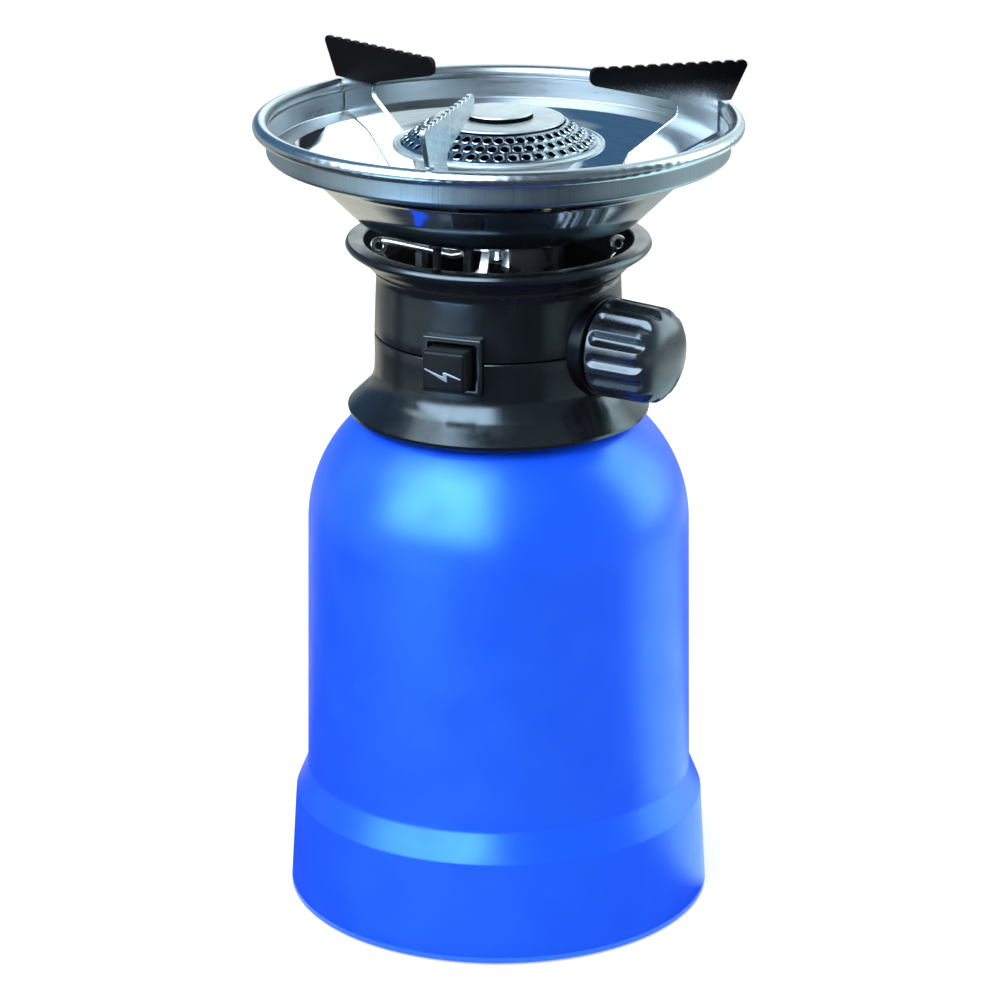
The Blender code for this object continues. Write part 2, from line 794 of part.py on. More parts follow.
def collar(openings):
    """The lower and upper black mouldings, with a lap joint at the seam."""
    seam_low = seam_height - clearance / 2
    seam_high = seam_height + clearance / 2
    lower = rounded([
        (flare_top_radius, flare_top_height, 4 * lip_wall),
        (flare_middle_radius, flare_middle_height, 2 * lip_wall),
        (lip_radius, lip_bottom + lip_edge, lip_edge / 2),
        (lip_radius - lip_edge / 4, lip_bottom),
        (lip_radius - lip_wall, lip_bottom),
        (flare_middle_radius, collar_underside),
        (spigot_radius, collar_underside),
        (spigot_radius, collar_underside - spigot_length),
        (spigot_radius - spigot_wall, collar_underside - spigot_length),
        (spigot_radius - spigot_wall, collar_floor_top),
        (collar_inner_radius, collar_floor_top),
        (collar_inner_radius, seam_low - lap_length),
        (lap_radius, seam_low - lap_length),
        (lap_radius, seam_low),
        (seam_radius, seam_low),
    ])
    lower_piece = turned("collar_lower", lower, black)
    for opening in openings:
        boolean(lower_piece, opening)
    boolean(lower_piece, screw_holes("cut_floor_holes", screw_shank_radius + clearance,
                                     collar_underside - overrun, collar_floor_top + overrun))
    upper = rounded([
        (flange_opening_radius, flange_top, flange_fillet / 2),
        (flange_radius - flange_fillet, flange_top, flange_fillet),
        (flange_radius, flange_middle, flange_fillet),
        (flange_radius - flange_fillet, flange_bottom, flange_fillet),
        (flange_root_radius, flange_root_height, flange_fillet / 2),
        (neck_top_radius, neck_top_height, flange_fillet / 2),
        (seam_radius, seam_high),
        (lap_radius - clearance, seam_high),
        (lap_radius - clearance, seam_high - lap_length),
        (collar_inner_radius, seam_high - lap_length),
        (collar_inner_radius - flange_wall / 4, neck_top_height),
        (flange_opening_radius - flange_wall / 4, flange_bottom),
    ])
    upper_piece = turned("collar_upper", upper, black)
    for opening in openings:
        boolean(upper_piece, opening)


def carrier_plate():
    """The steel disc on the collar's floor, and the three screws that hold it."""
    plate_bore = valve_stem_radius + clearance
    piece = turned("carrier_plate", [
        (plate_radius, plate_top),
        (plate_radius, plate_bottom),
        (plate_bore, plate_bottom),
        (plate_bore, plate_top),
    ], zinc_steel)
    boolean(piece, screw_holes("cut_plate_holes", screw_shank_radius + clearance,
                               plate_bottom - overrun, plate_top + overrun))
    head_bottom = foot_top + clearance
    for number, azimuth in enumerate(screw_azimuths, 1):
        turned(f"plate_screw_{number}", [
            (0, head_bottom + screw_head_height),
            (screw_head_radius * screw_head_top_share, head_bottom + screw_head_height),
            (screw_head_radius, head_bottom + screw_head_height * screw_head_side_share),
            (screw_head_radius, head_bottom),
            (screw_shank_radius, head_bottom),
            (screw_shank_radius, collar_underside),
            (0, collar_underside),
        ], zinc_steel, fine_steps, polar(screw_circle_radius, azimuth))


def bowl_carrier():
    """A steel spider: a ring under the bowl and three legs on the plate."""
    ring_bottom = carrier_top - carrier_sheet
    carrier_bore_radius = tube_radius + carrier_bore_room
    piece = turned("bowl_carrier", [
        (carrier_leg_radius, carrier_top),
        (carrier_leg_radius, ring_bottom),
        (carrier_bore_radius, ring_bottom),
        (carrier_bore_radius, carrier_top),
    ], zinc_steel, middle_steps)
    sole = foot_top - carrier_sheet
    inside = carrier_leg_radius - carrier_sheet
    profile = rounded([
        (inside, carrier_top - carrier_sheet / 2),
        (inside, foot_top - carrier_sheet, carrier_sheet),
        (inside + carrier_foot_length, foot_top - carrier_sheet),
        (inside + carrier_foot_length, foot_top),
        (carrier_leg_radius, foot_top, carrier_sheet / 2),
        (carrier_leg_radius, carrier_top - carrier_sheet / 2),
    ])
    for number, azimuth in enumerate(screw_azimuths, 1):
        leg = place_cutter(f"add_leg_{number}", plate_mesh(
            f"add_leg_{number}", profile, carrier_leg_width), (0, 0, 0), upright(azimuth))
        boolean(piece, leg, "UNION")
    boolean(piece, screw_holes("cut_leg_holes", screw_shank_radius + clearance,
                               sole - overrun, foot_top + overrun))


def valve():
    """The brass body with its side boss, the nut under the plate, seal and needle."""
    foot_top = valve_bottom + valve_foot_thickness
    body_bottom = plate_top + clearance
    thread_bottom = valve_neck_top - injector_thread_length - clearance
    body = turned("valve_body", [
        (0, thread_bottom),
        (injector_thread_radius + clearance, thread_bottom),
        (injector_thread_radius + clearance, valve_neck_top),
        (valve_neck_radius, valve_neck_top),
        (valve_neck_radius, valve_top_height),
        (valve_radius, valve_top_height),
        (valve_radius, body_bottom),
        (valve_stem_radius, body_bottom),
        (valve_stem_radius, foot_top),
        (valve_foot_radius, foot_top),
        (valve_foot_radius, valve_bottom),
        (needle_radius + clearance, valve_bottom),
        (needle_radius + clearance, valve_bottom + needle_root),
        (0, valve_bottom + needle_root),
    ], brass, small_steps)
    boss = place_cutter("add_valve_boss", bar("add_valve_boss", valve_boss_radius, 0,
                                              valve_boss_reach), knob_spot, outward(knob_azimuth))
    bore = place_cutter("cut_spindle_bore", bar(
        "cut_spindle_bore", spindle_radius + clearance, valve_seat_reach,
        valve_boss_reach + overrun), knob_spot, outward(knob_azimuth))
    pocket = place_cutter("cut_gland_pocket", bar(
        "cut_gland_pocket", gland_pocket_radius, valve_boss_reach - gland_pocket_depth,
        valve_boss_reach + overrun), knob_spot, outward(knob_azimuth))
    boolean(body, boss, "UNION")
    boolean(body, bore)
    boolean(body, pocket)
    nut_top = plate_bottom - clearance
    valve_nut_radius = valve_stem_radius + clearance + valve_nut_wall
    turned("valve_nut", [
        (valve_nut_radius, nut_top),
        (valve_nut_radius, nut_top - valve_nut_thickness),
        (valve_stem_radius + clearance, nut_top - valve_nut_thickness),
        (valve_stem_radius + clearance, nut_top),
    ], brass, fine_steps)
    seal_top = valve_bottom - clearance
    turned("cartridge_seal", [
        (seal_radius, seal_top),
        (seal_radius, seal_top - seal_thickness),
        (needle_radius + clearance, seal_top - seal_thickness),
        (needle_radius + clearance, seal_top),
    ], rubber, small_steps)
    tip = cartridge_top - needle_reach
    turned("piercing_needle", [
        (0, valve_bottom + needle_root - clearance),
        (needle_radius, valve_bottom + needle_root - clearance),
        (needle_radius, tip + needle_point),
        (0, tip),
    ], zinc_steel, fine_steps)


def injector():
    """The jet screwed into the valve's neck."""
    bottom = valve_neck_top + clearance
    hex_top = bottom + injector_hex_height
    turned("injector", [
        (0, hex_top + injector_tip_height),
        (injector_tip_radius, hex_top + injector_tip_height),
        (injector_thread_radius, hex_top),
        (injector_hex_radius, hex_top),
        (injector_hex_radius, bottom),
        (injector_thread_radius, bottom),
        (injector_thread_radius, valve_neck_top - injector_thread_length),
        (0, valve_neck_top - injector_thread_length),
    ], brass, fine_steps)


def spindle():
    """The turning spindle with its cone, its seal ring and the gland nut."""
    inner_end = valve_seat_reach + clearance
    outer_end = knob_start + spindle_knob_depth
    turned("valve_spindle", [
        (0, outer_end),
        (spindle_radius, outer_end),
        (spindle_radius, inner_end + spindle_cone),
        (spindle_radius * spindle_point_share, inner_end),
        (0, inner_end),
    ], brass, small_steps, knob_spot, outward(knob_azimuth))
    ring_centre = (spindle_radius + clearance + spindle_seal_wire,
                   valve_boss_reach - gland_pocket_depth + clearance + spindle_seal_wire)
    ring = arc(ring_centre, spindle_seal_wire, spindle_seal_wire, 180, -180,
               spindle_seal_steps)[:-1]
    turned("spindle_seal", ring, rubber, small_steps, knob_spot, outward(knob_azimuth))
    gland_start = valve_boss_reach + clearance
    turned("gland_nut", [
        (gland_radius, gland_start + gland_length),
        (gland_radius, gland_start),
        (spindle_radius + clearance, gland_start),
        (spindle_radius + clearance, gland_start + gland_length),
    ], brass, fine_steps, knob_spot, outward(knob_azimuth))


def knob():
    """The fluted control knob with its hub and domed end."""
    bore = spindle_radius + clearance
    bore_end = knob_start + spindle_knob_depth + clearance
    knob_end_radius = knob_radius - knob_taper
    outline = rounded([
        (0, knob_end),
        (knob_end_radius * knob_dome_share, knob_end, knob_end_radius),
        (knob_end_radius, knob_shoulder, knob_end - knob_shoulder),
        (knob_radius, knob_start + clearance, clearance * 2),
        (knob_radius - clearance, knob_start),
        (knob_hub_radius, knob_start),
        (knob_hub_radius, knob_hub_start),
        (bore, knob_hub_start),
        (bore, bore_end),
        (0, bore_end),
    ], closed=False)
    piece = turned("control_knob", outline, soft_black, 2 * knob_groove_count,
                   knob_spot, outward(knob_azimuth))
    centre = knob_radius + knob_groove_radius - knob_groove_depth
    start = knob_start + knob_groove_margin + knob_groove_radius
    end = knob_shoulder + knob_groove_overrun - knob_groove_radius
    grooves = []
    for number in range(knob_groove_count):
        angle = 2 * pi * number / knob_groove_count
        outline = arc((0, end), knob_groove_radius, knob_groove_radius, 90, 0, knob_groove_steps)
        outline += arc((0, start), knob_groove_radius, knob_groove_radius, 0, -90,
                       knob_groove_steps)
        outline[0] = (0, outline[0][1])
        outline[-1] = (0, outline[-1][1])
        groove = turned_mesh("cut_groove", outline, hole_sides)
        spot = Matrix.Translation((centre * cos(angle), centre * sin(angle), 0))
        grooves.append(moved(groove, spot))
    cutter = place_cutter("cut_knob_grooves", joined("cut_knob_grooves", grooves),
                          knob_spot, outward(knob_azimuth))
    boolean(piece, cutter)


def collar_drum(name):
    """The collar's outer wall with its clearance, as a cutter for what lies against it."""
    wall = [
        (flare_top_radius, neck_top_height),
        (flare_top_radius, flare_top_height),
        (flare_middle_radius, flare_middle_height),
        (lip_radius, lip_bottom),
    ]
    wall = offset(wall, -clearance)
    return place_cutter(name, turned_mesh(
        name, [(0, wall[0][1])] + wall + [(0, wall[-1][1])], round_steps))


def knob_ring():
    """The ring round the knob's hub, shaped to the collar's wall."""
    bore = knob_hub_radius + clearance
    sleeve_radius = bore + knob_ring_sleeve_wall
    back = collar_inner_radius - overrun
    piece = turned("knob_ring", rounded([
        (knob_ring_radius, knob_ring_front, clearance * 2),
        (knob_ring_radius, back),
        (bore, back),
        (bore, knob_ring_front),
    ]), black, middle_steps, knob_spot, outward(knob_azimuth))
    drum = collar_drum("cut_ring_back")
    hollow = place_cutter("keep_ring_sleeve", bar(
        "keep_ring_sleeve", sleeve_radius, back - overrun, collar_inner_radius + 2 * overrun,
        middle_steps), knob_spot, outward(knob_azimuth))
    boolean(drum, hollow)
    boolean(piece, drum)


def igniter():
    """The push button, its frame, the piezo module and the return spring."""
    frame = outward(button_azimuth)
    half_x = button_width / 2
    half_y = button_depth / 2
    inner_x = half_x + button_gap
    inner_y = half_y + button_gap
    bezel_back = collar_inner_radius - clearance
    bezel = place("igniter_bezel", block(
        "igniter_bezel",
        (-inner_x - bezel_sleeve - bezel_border, -inner_y - bezel_sleeve - bezel_border, bezel_back),
        (inner_x + bezel_sleeve + bezel_border, inner_y + bezel_sleeve + bezel_border, bezel_front)),
        black, button_spot, frame)
    drum = collar_drum("cut_bezel_back")
    inside = place_cutter("keep_bezel_sleeve", block(
        "keep_bezel_sleeve", (-inner_x - bezel_sleeve, -inner_y - bezel_sleeve, bezel_back - overrun),
        (inner_x + bezel_sleeve, inner_y + bezel_sleeve, bezel_front + overrun)), button_spot, frame)
    boolean(drum, inside)
    boolean(bezel, drum)
    boolean(bezel, place_cutter("cut_bezel_window", block(
        "cut_bezel_window", (-inner_x, -inner_y, bezel_back - overrun),
        (inner_x, inner_y, bezel_front + overrun)), button_spot, frame))

    button = place("igniter_button", block(
        "igniter_button", (-half_x, -half_y, button_flange_back + button_flange_thickness / 2),
        (half_x, half_y, button_reach), button_edge), soft_black, button_spot, frame)
    wide_x = half_x + button_flange_margin
    wide_y = half_y + button_flange_margin
    boolean(button, place_cutter("add_button_flange", block(
        "add_button_flange", (-wide_x, -wide_y, button_flange_back),
        (wide_x, wide_y, button_flange_front)), button_spot, frame), "UNION")
    bore_bottom = module_front - module_depth + clearance
    stem_end = bore_bottom + button_travel + clearance
    boolean(button, place_cutter("add_button_stem", bar(
        "add_button_stem", button_stem_radius, stem_end,
        button_flange_back + button_flange_thickness / 2, fine_steps), button_spot, frame), "UNION")

    module_low = plate_top + clearance - button_height
    module_high = module_top_height - button_height
    module = place("igniter_module", block(
        "igniter_module", (-module_width / 2, module_low, module_front - module_depth),
        (module_width / 2, module_high, module_front)), soft_black, button_spot, frame)
    boolean(module, place_cutter("cut_module_bore", bar(
        "cut_module_bore", button_stem_radius + clearance, bore_bottom,
        module_front + overrun, small_steps), button_spot, frame))

    start = module_front + clearance + spring_wire
    end = button_flange_back - clearance - spring_wire
    turns = spring_turns * spring_points_per_turn
    coil = []
    for point in range(turns + 1):
        angle = 2 * pi * point / spring_points_per_turn
        climb = start + (end - start) * point / turns
        coil.append((spring_radius * cos(angle), spring_radius * sin(angle), climb))
    place("igniter_spring", wire_mesh("igniter_spring", coil, spring_wire, 1), zinc_steel,
          button_spot, frame)


def mixing_tube():
    """The tube round the injector, with its air holes."""
    tube_top = bowl_base + tube_top_rise
    piece = turned("mixing_tube", [
        (tube_radius, tube_top),
        (tube_radius, tube_bottom),
        (tube_radius - tube_wall, tube_bottom),
        (tube_radius - tube_wall, tube_top),
    ], zinc_steel, small_steps)
    for number in range(air_hole_count):
        azimuth = first_air_hole + 360 * number / air_hole_count
        boolean(piece, place_cutter(f"cut_air_hole_{number}", bar(
            f"cut_air_hole_{number}", air_hole_radius, 0, tube_radius + overrun, fine_steps),
            (0, 0, tube_bottom + air_hole_rise), outward(azimuth)))


def bowl_path():
    """The bowl's outer face, from under the bead down and in to the bore."""
    return rounded([
        (bowl_wall_radius, bead_height - bead_radius / 2),
        (bowl_wall_radius, bowl_bend_height, bowl_bend_fillet),
        (bowl_middle_radius, bowl_middle_height),
        (bowl_knuckle_radius, bowl_knuckle_height),
        (bowl_foot_radius, bowl_base),
        (bowl_bore_radius, bowl_base),
    ], closed=False)


def bowl():
    """The wind shield: pressed sheet with a rolled bead, slots and the electrode's hole."""
    outer = bowl_path()
    inner = offset(outer, bowl_sheet)[::-1]
    bead = arc((bead_centre_radius, bead_height), bead_radius, bead_radius,
               bead_start_angle, bead_end_angle, bead_steps)
    inner[-1] = (bowl_wall_radius - bowl_sheet, bead_height - bead_radius / 2)
    facets_meet_at_supports = (0, 0, radians(support_azimuths[0]))
    piece = turned("windshield_bowl", bead + outer + inner, steel, bowl_steps,
                   turn=facets_meet_at_supports)
    half = support_sheet / 2 + clearance
    low = bowl_base - overrun
    high = bowl_floor_top + overrun
    for number, azimuth in enumerate(support_azimuths, 1):
        slot = block("cut_slot", (support_toe_radius - clearance, -half, low),
                     (support_toe_radius + support_toe_width + clearance, half, high))
        boolean(piece, place_cutter(f"cut_support_slot_{number}", slot, (0, 0, 0),
                                    (0, 0, radians(azimuth))))
    boolean(piece, place_cutter("cut_electrode_hole", bar(
        "cut_electrode_hole", insulator_radius + clearance, low, high, small_steps),
        polar(electrode_circle_radius, electrode_azimuth)))


def burner():
    """The cup, the perforated ring and the cap."""
    cup_low = bowl_floor_top + clearance
    flange_low = cup_flange_height - cup_sheet
    outer = [
        (cup_flange_radius, flange_low),
        (cup_cone_radius, flange_low),
        (cup_sleeve_radius, cup_neck_height),
        (cup_sleeve_radius, cup_low),
    ]
    inner = offset(outer, cup_sheet)[::-1]
    inner[-1] = (cup_flange_radius, cup_flange_height)
    inner[0] = (inner[0][0], cup_low)
    turned("burner_cup", outer + inner, aluminium, middle_steps)

    ring_low = cup_flange_height + clearance
    slope = Vector((ring_bottom_radius - ring_top_radius, ring_low - ring_top_height))
    tilt = atan2(slope.x, -slope.y)
    across = ring_sheet / sin(tilt)
    deep = ring_sheet / cos(tilt)
    ring = turned("burner_ring", [
        (ring_top_radius, ring_top_height),
        (ring_bottom_radius, ring_low),
        (ring_bottom_radius - deep, ring_low),
        (ring_top_radius, ring_top_height - across),
    ], aluminium, middle_steps)
    ports = []
    half_length = hypot(across, deep)
    for row, share in enumerate(port_row_shares):
        middle_radius = ring_top_radius + slope.x * share
        middle_height = ring_top_height + slope.y * share
        for number in range(ports_per_row):
            azimuth = 360 * (number + row / 2) / ports_per_row
            port = bar("port", port_radius, -half_length, half_length, hole_sides)
            lean = Matrix.Rotation(pi / 2 - tilt, 4, "Y")
            out = Matrix.Translation((middle_radius, 0, middle_height))
            ports.append(moved(port, Matrix.Rotation(radians(azimuth), 4, "Z") @ out @ lean))
    boolean(ring, place_cutter("cut_ports", joined("cut_ports", ports)))

    button_top = cap_height + cap_button_rise
    cap_spigot_radius = cap_radius - cap_spigot_inset
    turned("burner_cap", [
        (0, button_top),
        (cap_button_radius - cap_edge, button_top),
        (cap_button_radius, button_top - cap_edge),
        (cap_button_radius, cap_height + cap_edge),
        (cap_button_radius - cap_groove_depth, cap_height),
        (cap_radius - 2 * cap_edge, cap_height),
        (cap_radius, cap_height - cap_edge),
        (cap_radius, cap_low),
        (cap_spigot_radius, cap_low),
        (cap_spigot_radius - cap_spigot_depth / 2, cap_low - cap_spigot_depth),
        (0, cap_low - cap_spigot_depth),
    ], aluminium, middle_steps)


def toothed_edge():
    """The top edge of a support, from its inner nose to its tip."""
    first_tooth = support_inner_radius + tooth_margin
    pitch = (support_tip_radius - tooth_margin - first_tooth) / tooth_count
    land = pitch * tooth_land_share
    top = [(support_inner_radius, support_top_height, support_nose_radius)]
    for number in range(tooth_count):
        start = first_tooth + pitch * number
        top.append((start + land, support_top_height))
        top.append((start + (pitch + land) / 2, support_top_height - tooth_depth))
        top.append((start + pitch, support_top_height))
    top.append((support_tip_radius, support_top_height, support_corner))
    return top


def pot_supports():
    """Three plates that stand in the bowl and reach over its bead."""
    floor = offset(bowl_path(), bowl_sheet + clearance)
    sloped = [point for point in floor
              if bowl_foot_radius < point[0] < bowl_wall_radius - bowl_sheet - 2 * clearance]
    inside = bowl_wall_radius - bowl_sheet - clearance
    base = bowl_floor_top + clearance
    toe_outer = support_toe_radius + support_toe_width
    toe_top = base + support_toe_rise
    outline = rounded(toothed_edge() + [
        (bead_centre_radius + support_shelf, support_shelf_height),
        (inside, support_shelf_height),
        (inside, sloped[0][1]),
    ] + sloped + [
        (toe_outer, base),
        (toe_outer, bowl_base - support_tab_drop),
        (support_toe_radius, bowl_base - support_tab_drop),
        (support_toe_radius, toe_top),
        (support_toe_radius + support_shin_run, toe_top + support_shin_rise),
        (support_toe_radius + support_arm_run, support_top_height - support_arm_depth,
         support_arm_radius),
        (support_inner_radius, support_top_height - support_nose_depth, support_nose_radius),
    ])
    for number, azimuth in enumerate(support_azimuths, 1):
        place(f"pot_support_{number}", plate_mesh(f"pot_support_{number}", outline, support_sheet),
              steel, (0, 0, 0), upright(azimuth))


def electrode():
    """The ceramic, the spark wire through it and the lead from the module."""
    spot = polar(electrode_circle_radius, electrode_azimuth)
    top = bowl_base + insulator_rise
    tail = bowl_base - insulator_tail
    bore = electrode_radius + clearance / 2
    flange_low = bowl_floor_top + clearance
    turned("electrode_insulator", [
        (insulator_radius, top),
        (insulator_radius, flange_low + insulator_flange_height),
        (insulator_flange_radius, flange_low + insulator_flange_height),
        (insulator_flange_radius, flange_low),
        (insulator_radius, flange_low),
        (insulator_radius, tail),
        (bore, tail),
        (bore, top),
    ], ceramic, fine_steps, spot)
    inward = Vector(polar(-1, electrode_azimuth))
    base = Vector(spot)
    low = base + Vector((0, 0, tail - electrode_tail))
    bend = base + Vector((0, 0, top + electrode_rise / 2))
    knee = base + inward * electrode_bend * electrode_knee_shares[0]
    knee += Vector((0, 0, top + electrode_rise * electrode_knee_shares[1]))
    end = base + inward * electrode_bend + Vector((0, 0, top + electrode_rise))
    place("ignition_electrode", wire_mesh("ignition_electrode", [low, bend, knee, end],
                                          electrode_radius), zinc_steel)
    start = Vector(polar(module_front - module_depth / 2, button_azimuth,
                         module_top_height + clearance))
    stop = low - Vector((0, 0, clearance))
    rise = stop.z - start.z
    middle = start * lead_middle_shares[0] + stop * lead_middle_shares[1]
    heights = [start.z + rise * share for share in lead_height_shares]
    route = [
        start,
        Vector((start.x, start.y, heights[0])),
        Vector((middle.x, middle.y, heights[1])),
        Vector((stop.x, stop.y, heights[2])),
        stop,
    ]
    place("igniter_lead", wire_mesh("igniter_lead", spread(route, lead_steps), lead_radius), sleeve)


housing()
base_closure()
gas_cartridge()
collar(wall_openings())
carrier_plate()
bowl_carrier()
valve()
injector()
spindle()
knob()
knob_ring()
igniter()
mixing_tube()
bowl()
burner()
pot_supports()
electrode()
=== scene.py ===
"""Looks for the portable gas stove: camera, light, fine pieces and materials on the CAD frame.

Metres throughout, through the unit mm. +Z is up, and the camera stands at -Y.
"""
from math import atan2, ceil, cos, hypot, pi, radians, sin, tan

import bmesh
import bpy
from mathutils import Matrix, Vector, noise

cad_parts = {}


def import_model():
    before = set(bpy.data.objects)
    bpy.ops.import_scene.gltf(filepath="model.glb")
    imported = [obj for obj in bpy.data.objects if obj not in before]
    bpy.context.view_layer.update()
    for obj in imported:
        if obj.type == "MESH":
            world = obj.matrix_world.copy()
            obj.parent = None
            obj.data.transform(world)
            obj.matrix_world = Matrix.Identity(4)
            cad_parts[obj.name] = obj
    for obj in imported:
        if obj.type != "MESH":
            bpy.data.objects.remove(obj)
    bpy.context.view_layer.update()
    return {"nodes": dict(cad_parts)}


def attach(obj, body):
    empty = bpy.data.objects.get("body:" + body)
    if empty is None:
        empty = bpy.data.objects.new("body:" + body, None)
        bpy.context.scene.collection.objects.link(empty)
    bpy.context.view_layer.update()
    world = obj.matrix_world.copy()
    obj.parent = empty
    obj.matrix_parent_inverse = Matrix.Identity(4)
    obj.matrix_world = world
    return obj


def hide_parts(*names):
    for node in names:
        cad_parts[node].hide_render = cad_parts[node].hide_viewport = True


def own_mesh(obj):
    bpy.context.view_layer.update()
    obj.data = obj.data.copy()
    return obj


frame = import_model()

mm = 0.001
scene = bpy.context.scene

# Edges sharper than this stay sharp, in degrees
sharp_angle = 38
# Steps round the large turned pieces and the fine ones
body_steps = 192
fine_steps = 48


def rounded(corners, closed=True, steps=5):
    """An outline in millimetres whose corners (x, y, fillet) turn into short arcs."""
    points = []
    count = len(corners)
    for index, corner in enumerate(corners):
        here = Vector(corner[:2])
        if len(corner) < 3 or not closed and index in (0, count - 1):
            points.append(tuple(here))
            continue
        before = Vector(corners[index - 1][:2]) - here
        after = Vector(corners[(index + 1) % count][:2]) - here
        half = before.angle(after) / 2
        reach = min(corner[2] / tan(half), before.length / 2, after.length / 2)
        radius = reach * tan(half)
        middle = (before.normalized() + after.normalized()).normalized()
        centre = here + middle * radius / sin(half)
        first = here + before.normalized() * reach - centre
        last = here + after.normalized() * reach - centre
        start = atan2(first.y, first.x)
        sweep = (atan2(last.y, last.x) - start + pi) % (2 * pi) - pi
        for step in range(steps + 1):
            angle = start + sweep * step / steps
            points.append((centre.x + radius * cos(angle), centre.y + radius * sin(angle)))
    return points


def arc(centre, run, rise, start, end, steps):
    """Points on an ellipse about a centre, from one angle to another in degrees."""
    points = []
    for step in range(steps + 1):
        angle = radians(start + (end - start) * step / steps)
        points.append((centre[0] + run * cos(angle), centre[1] + rise * sin(angle)))
    return points


def offset(points, distance):
    """An open line moved sideways by a distance, to the right of its direction."""
    lines = [Vector(point) for point in points]
    moved = []
    for index, here in enumerate(lines):
        before = (here - lines[index - 1]).normalized() if index else None
        after = (lines[index + 1] - here).normalized() if index < len(lines) - 1 else None
        before = before or after
        after = after or before
        across = Vector((before.y, -before.x))
        side = (across + Vector((after.y, -after.x))).normalized()
        least_stretch = 0.3
        stretch = max(side.dot(across), least_stretch)
        moved.append(tuple(here + side * distance / stretch))
    return moved


def around(steps):
    """The angles of a full turn in even steps."""
    return [2 * pi * step / steps for step in range(steps)]


def split_long(outline, longest, closed=True):
    """The same outline with its long straight runs cut into shorter ones."""
    result = []
    count = len(outline)
    for index in range(count if closed else count - 1):
        here = Vector(outline[index])
        after = Vector(outline[(index + 1) % count])
        parts = max(1, ceil((after - here).length / longest))
        for part in range(parts):
            result.append(tuple(here.lerp(after, part / parts)))
    if not closed:
        result.append(outline[-1])
    return result


def lathe(name, outline, steps, warp=None, finish=None):
    """A turned mesh from an outline in millimetres, closed round the axis or through it.

    warp(radius, height, angle) gives the moved radius and height. finish(radius, height)
    gives the material index of the face that starts there.
    """
    shape = bmesh.new()
    least_radius = 1e-6
    on_axis = outline[0][0] < least_radius
    rings = []
    for radius, height in outline:
        if radius < least_radius:
            rings.append([shape.verts.new((0, 0, height * mm))])
            continue
        ring = []
        for angle in around(steps):
            r, z = warp(radius, height, angle) if warp else (radius, height)
            ring.append(shape.verts.new((r * cos(angle) * mm, r * sin(angle) * mm, z * mm)))
        rings.append(ring)
    pairs = list(zip(rings, rings[1:], outline))
    if not on_axis:
        pairs.append((rings[-1], rings[0], outline[-1]))
    for upper, lower, start in pairs:
        for step in range(steps):
            after = (step + 1) % steps
            corners = (upper[step % len(upper)], upper[after % len(upper)],
                       lower[after % len(lower)], lower[step % len(lower)])
            face = shape.faces.new(list(dict.fromkeys(corners)))
            if finish:
                face.material_index = finish(*start)
    return finished(shape, name)


def smooth(mesh, angle=sharp_angle):
    mesh.shade_smooth()
    mesh.set_sharp_from_angle(angle=radians(angle))
    return mesh


def meshed(shape, name):
    """The mesh of a shape, which is freed."""
    mesh = bpy.data.meshes.new(name)
    shape.to_mesh(mesh)
    shape.free()
    return mesh


def finished(shape, name, angle=sharp_angle):
    """The smoothed mesh of a shape, its faces turned outward."""
    bmesh.ops.recalc_face_normals(shape, faces=shape.faces)
    return smooth(meshed(shape, name), angle)


def band(shape, lower, upper, look=0):
    """Quads between two closed rings of vertices, all in one material."""
    for step in range(len(lower)):
        after = (step + 1) % len(lower)
        face = shape.faces.new((lower[step], lower[after], upper[after], upper[step]))
        face.material_index = look


def spin(angle, axis="Z"):
    """Rotation by an angle in degrees."""
    return Matrix.Rotation(radians(angle), 4, axis)


def shift(x, y, z):
    """Translation in millimetres."""
    return Matrix.Translation((x * mm, y * mm, z * mm))


def outward(azimuth):
    """Rotation that turns local Z to the radial direction, local Y up and local X round."""
    return spin(azimuth + 90) @ spin(90, "X")


def upright(azimuth):
    """Rotation that stands a flat XY outline on the radial plane, X outward and Y up."""
    return spin(azimuth) @ spin(90, "X")


def placed(name, data):
    """A new object in the scene."""
    piece = bpy.data.objects.new(name, data)
    scene.collection.objects.link(piece)
    return piece


def evaluated(piece):
    """A piece's mesh with its curve or modifiers worked out."""
    bpy.context.view_layer.update()
    seen = piece.evaluated_get(bpy.context.evaluated_depsgraph_get())
    return bpy.data.meshes.new_from_object(seen)


def put(mesh, looks, replaced=(), matrix=None, body="head"):
    """One visible piece, named as its mesh, with its looks and the body it rides on."""
    if matrix:
        mesh.transform(matrix)
    mesh.update()
    piece = placed(mesh.name, mesh)
    for look in looks:
        mesh.materials.append(look)
    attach(piece, body)
    if replaced:
        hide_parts(*replaced)
    return piece


def block(name, low, high, edge=0.0, segments=3):
    """A mesh box between two corners in millimetres, its edges rounded."""
    shape = bmesh.new()
    bmesh.ops.create_cube(shape, size=1)
    for corner in shape.verts:
        corner.co = [(low[axis] if corner.co[axis] < 0 else high[axis]) * mm for axis in range(3)]
    if edge:
        bmesh.ops.bevel(shape, geom=shape.edges[:], offset=edge * mm, segments=segments,
                        profile=0.5, affect="EDGES")
    return finished(shape, name)


def plate(name, outline, thickness, edge):
    """A flat plate in the XY plane from an outline in millimetres, with bevelled edges."""
    shape = bmesh.new()
    half = thickness / 2
    layers = []
    inner = offset(outline + outline[:1], edge)[:-1]
    for points, height in ((inner, -half), (outline, -half + edge), (outline, half - edge),
                           (inner, half)):
        layers.append([shape.verts.new((x * mm, y * mm, height * mm)) for x, y in points])
    shape.faces.new(layers[0])
    shape.faces.new(layers[-1])
    for lower, upper in zip(layers, layers[1:]):
        band(shape, lower, upper)
    bmesh.ops.recalc_face_normals(shape, faces=shape.faces)
    bmesh.ops.triangulate(shape, faces=[face for face in shape.faces if len(face.verts) > 4])
    return finished(shape, name)


